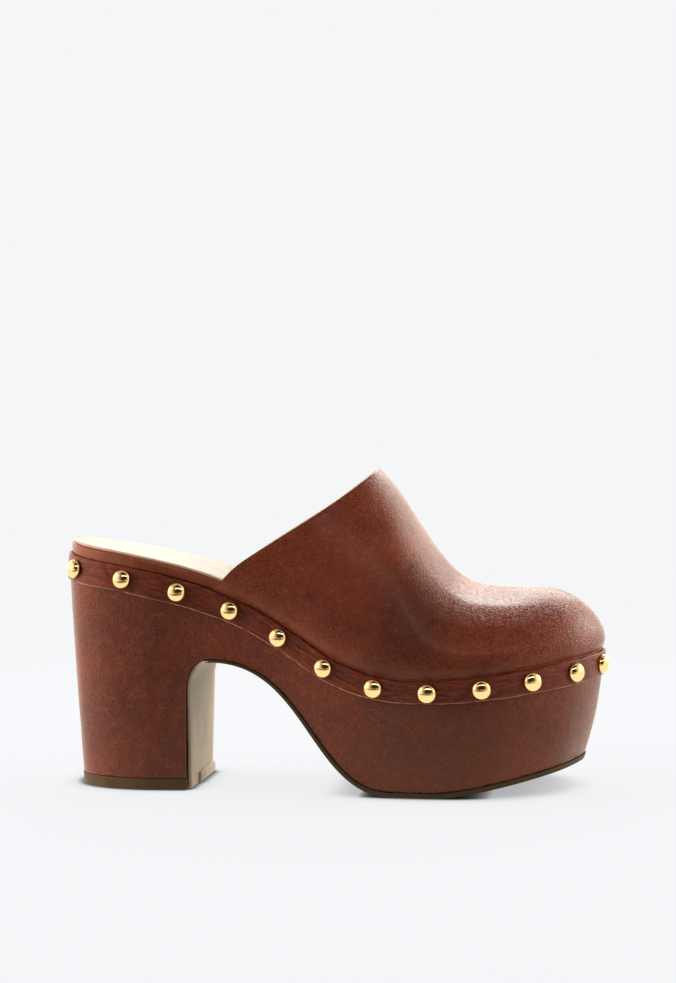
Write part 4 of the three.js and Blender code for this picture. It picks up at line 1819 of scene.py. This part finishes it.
class Softbox(NamedTuple):
    """Lamp that faces the shoe."""

    name: str
    place: tuple[float, float, float]  # its middle, in metres
    size: tuple[float, float]  # width and height, in metres
    level: float  # brightness of its face, where 1 is white
    mirrored: bool = True  # whether glossy surfaces show it
    lights: bool = True  # whether it lights matt surfaces


@dataclass
class Studio:
    """White light tent with a slot for the camera, a pale floor and the camera."""

    pale: str = "#f5f6f8"
    warm: tuple[float, float, float, float] = (1.0, 0.95, 0.83, 1.0)
    floor_size: float = 12.0
    floor_tint: tuple[float, float, float] = (0.95, 1.0, 1.12)
    floor_matt: float = 0.05
    floor_glow: float = 0.9
    even_past: tuple[float, float] = (0.28, 0.8)  # where the floor turns to an even glow
    contact: float = 0.0035  # how near the shoe must be to darken the floor, in metres
    contact_power: float = 2.2
    hush: float = 0.014  # how near it must be to dim the floor, in metres
    dim: float = 0.5  # how bright the floor stays when it is only dimmed
    floor_bounce: float = 0.26
    near_floor: float = 1.5
    front_floor: float = 0.15
    front: tuple[float, float] = (-0.14, -0.3)  # where the floor darkens towards the slot
    front_width: tuple[float, float] = (0.3, 0.7)  # and how far to each side it does
    side_light: float = 2.5
    side_turn: tuple[float, float] = (22, 92)  # degrees from the slot over which it rises
    back_light: float = 2.1
    back_turn: tuple[float, float] = (92, 145)
    zenith: float = 0.3
    roof: tuple[float, float] = (0.52, 0.8)  # how high the tent darkens, where 1 is overhead
    slot_dark: float = 0.03
    slot_turn: float = 12  # how far towards the toe the dark slot is turned
    aim: tuple[float, float, float] = (0.02, 0, 0.07)  # what the softboxes face
    # Two softboxes behind, a strip above the camera, and three lamps through the cloth
    softboxes: tuple[Softbox, ...] = (
        Softbox("back_softbox", (0.0, 0.78, 0.66), (0.8, 0.4), 5.0),
        Softbox("front_strip", (0.3, -0.95, 0.86), (1.5, 0.15), 5.0, lights=False),
        Softbox("toe_box", (0.8, 0.5, 0.42), (0.35, 0.35), 6.0, lights=False),
        Softbox("top_fill", (0.1, 0.35, 1.0), (1.0, 0.6), 2.6, mirrored=False),
        Softbox("toe_fill", (1.0, 0.0, 0.45), (0.6, 0.6), 6.5, mirrored=False),
        Softbox("heel_fill", (-1.0, -0.1, 0.35), (0.6, 0.6), 13.0, mirrored=False),
    )
    camera_place: tuple[float, float, float] = (0.13284, -0.93295, 0.16)
    yaw: float = 8.0
    pitch: float = 1.9715
    roll: float = 0.4
    lens: float = 78.977
    sensor: float = 36
    sees: tuple[float, float] = (0.05, 60)  # nearest and farthest, in metres

    def floor(self) -> None:
        """Wide pale floor, which also lights the shoe from below as far as the slot."""
        mesh = bmesh.new()
        bmesh.ops.create_circle(mesh, cap_ends=True, segments=96, radius=self.floor_size)
        data = bpy.data.meshes.new("studio_floor")
        mesh.to_mesh(data)
        mesh.free()
        made = bpy.data.objects.new("studio_floor", data)
        bpy.context.scene.collection.objects.link(made)
        data.materials.append(self._floor_paint())

    def _floor_paint(self) -> bpy.types.Material:
        """Paint that glows evenly far away and takes the shoe's shadow near it."""
        material, tree = new_material("pale_floor_paint")
        coords = add_node(tree, "ShaderNodeTexCoord")
        parts = add_node(tree, "ShaderNodeSeparateXYZ", {0: coords.outputs["Object"]})
        away = add_node(
            tree, "ShaderNodeVectorMath", {0: coords.outputs["Object"]}, operation="LENGTH"
        ).outputs["Value"]
        aside = add_node(tree, "ShaderNodeMath", {0: parts.outputs["X"]}, operation="ABSOLUTE")
        corner, under = (
            add_node(tree, "ShaderNodeAmbientOcclusion", {"Distance": reach}, samples=16)
            for reach in (self.contact, self.hush)
        )
        path = add_node(tree, "ShaderNodeLightPath")
        share, shine, dimmed, ahead, within, kept = (
            add_node(
                tree,
                "ShaderNodeMapRange",
                {"Value": value, "From Min": start, "From Max": end, "To Min": low,
                 "To Max": high},
                interpolation_type="SMOOTHSTEP",
            ).outputs["Result"]
            for value, start, end, low, high in (
                (away, *self.even_past, self.floor_matt, 0.0),
                (away, *self.even_past, self.floor_glow, 1.0),
                (under.outputs["AO"], 0.0, 1.0, self.dim, 1.0),
                (parts.outputs["Y"], *self.front, 0.0, 1.0),
                (aside.outputs["Value"], *self.front_width, 1.0, 0.0),
                (path.outputs["Is Glossy Ray"], 0.0, 1.0, self.floor_bounce, 1.0),
            )
        )
        paint = add_node(
            tree, "ShaderNodeVectorMath", {0: self.floor_tint, "Scale": share}, operation="SCALE"
        )
        matt = add_node(tree, "ShaderNodeBsdfDiffuse", {"Color": paint.outputs["Vector"]})
        shade = add_node(
            tree, "ShaderNodeMath", {0: corner.outputs["AO"], 1: self.contact_power},
            operation="POWER",
        )
        kept_light = add_node(
            tree, "ShaderNodeMath", {0: shade.outputs["Value"], 1: dimmed}, operation="MULTIPLY"
        )
        lit = add_node(
            tree, "ShaderNodeMath", {0: kept_light.outputs["Value"], 1: shine},
            operation="MULTIPLY",
        )
        glow = add_node(
            tree, "ShaderNodeEmission",
            {"Color": linear(self.pale), "Strength": lit.outputs["Value"]},
        )
        seen = add_node(tree, "ShaderNodeAddShader", {0: matt.outputs[0], 1: glow.outputs[0]})
        dark = add_node(tree, "ShaderNodeMath", {0: ahead, 1: within}, operation="MULTIPLY")
        level = add_node(
            tree,
            "ShaderNodeMapRange",
            {"Value": dark.outputs["Value"], "To Min": self.near_floor,
             "To Max": self.near_floor * self.front_floor},
            interpolation_type="SMOOTHSTEP",
        )
        bounce = add_node(
            tree, "ShaderNodeMath", {0: level.outputs["Result"], 1: kept}, operation="MULTIPLY"
        )
        bounced = add_node(
            tree, "ShaderNodeEmission", {"Color": self.warm, "Strength": bounce.outputs["Value"]}
        )
        both = add_node(
            tree,
            "ShaderNodeMixShader",
            {"Fac": path.outputs["Is Camera Ray"], 1: bounced.outputs[0], 2: seen.outputs[0]},
        )
        add_node(tree, "ShaderNodeOutputMaterial", {"Surface": both.outputs[0]})
        return material

    def world(self) -> None:
        """Tent: dark at the slot in front, brighter towards the sides and the back."""
        world = bpy.data.worlds.new("studio_world")
        bpy.context.scene.world = world
        world.use_nodes = True
        tree = world.node_tree
        tree.nodes.clear()
        coords = add_node(tree, "ShaderNodeTexCoord")
        parts = add_node(tree, "ShaderNodeSeparateXYZ", {0: coords.outputs["Generated"]})
        front = add_node(
            tree, "ShaderNodeMath", {0: parts.outputs["Y"], 1: -1.0}, operation="MULTIPLY"
        )
        turn = add_node(
            tree, "ShaderNodeMath", {0: parts.outputs["X"], 1: front.outputs["Value"]},
            operation="ARCTAN2",
        )
        turned = add_node(
            tree, "ShaderNodeMath",
            {0: turn.outputs["Value"], 1: math.radians(self.slot_turn)}, operation="SUBTRACT",
        )
        aside = add_node(
            tree, "ShaderNodeMath", {0: turned.outputs["Value"]}, operation="ABSOLUTE"
        ).outputs["Value"]
        side, back, roof = (
            add_node(
                tree,
                "ShaderNodeMapRange",
                {"Value": value, "From Min": start, "From Max": end, "To Min": low,
                 "To Max": high},
                interpolation_type="SMOOTHSTEP",
            ).outputs["Result"]
            for value, start, end, low, high in (
                (aside, *map(math.radians, self.side_turn), 0.0, self.side_light),
                (aside, *map(math.radians, self.back_turn), 0.0,
                 self.back_light - self.side_light),
                (parts.outputs["Z"], *self.roof, 1.0, self.zenith),
            )
        )
        around = add_node(tree, "ShaderNodeMath", {0: side, 1: back}, operation="ADD")
        level = add_node(
            tree, "ShaderNodeMath", {0: around.outputs["Value"], 1: roof, 2: self.slot_dark},
            operation="MULTIPLY_ADD",
        )
        soft = add_node(
            tree, "ShaderNodeBackground", {"Color": self.warm, "Strength": level.outputs["Value"]}
        )
        even = add_node(tree, "ShaderNodeBackground", {"Color": linear(self.pale)})
        path = add_node(tree, "ShaderNodeLightPath")
        mixed = add_node(
            tree,
            "ShaderNodeMixShader",
            {"Fac": path.outputs["Is Camera Ray"], 1: soft.outputs[0], 2: even.outputs[0]},
        )
        add_node(tree, "ShaderNodeOutputWorld", {"Surface": mixed.outputs[0]})

    def lights(self) -> None:
        """Hang the softboxes and turn them to the shoe."""
        for box in self.softboxes:
            data = bpy.data.lights.new(box.name, "AREA")
            data.shape = "RECTANGLE"
            data.size, data.size_y = box.size
            data.energy = box.level * math.pi * box.size[0] * box.size[1]
            lamp = bpy.data.objects.new(box.name, data)
            lamp.visible_glossy = box.mirrored
            lamp.visible_diffuse = box.lights
            lamp.location = box.place
            lamp.rotation_mode = "QUATERNION"
            ahead = Vector(self.aim) - Vector(box.place)
            lamp.rotation_quaternion = ahead.to_track_quat("-Z", "Y")
            bpy.context.scene.collection.objects.link(lamp)

    def camera(self) -> None:
        """Camera a little over the shoe and a little towards the toe."""
        yaw, pitch, roll = (math.radians(v) for v in (self.yaw, self.pitch, self.roll))
        ahead = Vector((
            -math.sin(yaw) * math.cos(pitch), math.cos(yaw) * math.cos(pitch), -math.sin(pitch)
        ))
        level = Vector((math.cos(yaw), math.sin(yaw), 0))
        up = level.cross(ahead)
        right = level * math.cos(roll) - up * math.sin(roll)
        top = level * math.sin(roll) + up * math.cos(roll)
        data = bpy.data.cameras.new("camera")
        data.lens = self.lens
        data.sensor_width = self.sensor
        data.clip_start, data.clip_end = self.sees
        made = bpy.data.objects.new("camera", data)
        turned = Matrix((right, top, -ahead)).transposed().to_4x4()
        made.matrix_world = Matrix.Translation(self.camera_place) @ turned
        bpy.context.scene.collection.objects.link(made)
        bpy.context.scene.camera = made

    def build(self) -> None:
        """Set the stage."""
        self.floor()
        self.world()
        self.lights()
        self.camera()
        view = bpy.context.scene.view_settings
        view.view_transform = "Standard"
        view.look = "None"


def main() -> None:
    """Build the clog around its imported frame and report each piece."""
    logging.basicConfig(level=logging.INFO, format="%(name)s %(message)s")
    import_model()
    Studio().build()
    last = Last()
    band = Band(last)
    band.seat_frame()
    shop = Workshop(last)
    under = Underside(last)
    studs = Studs(last, band)
    Platform(last, under).build(shop)
    Outsole(last, under).build(shop)
    HeelLift(last, under).build(shop)
    band.build(shop, studs.middles())
    studs.build(shop)
    Insole(last).build(shop)
    Upper(last).build(shop)


if __name__ == "__main__":
    main()
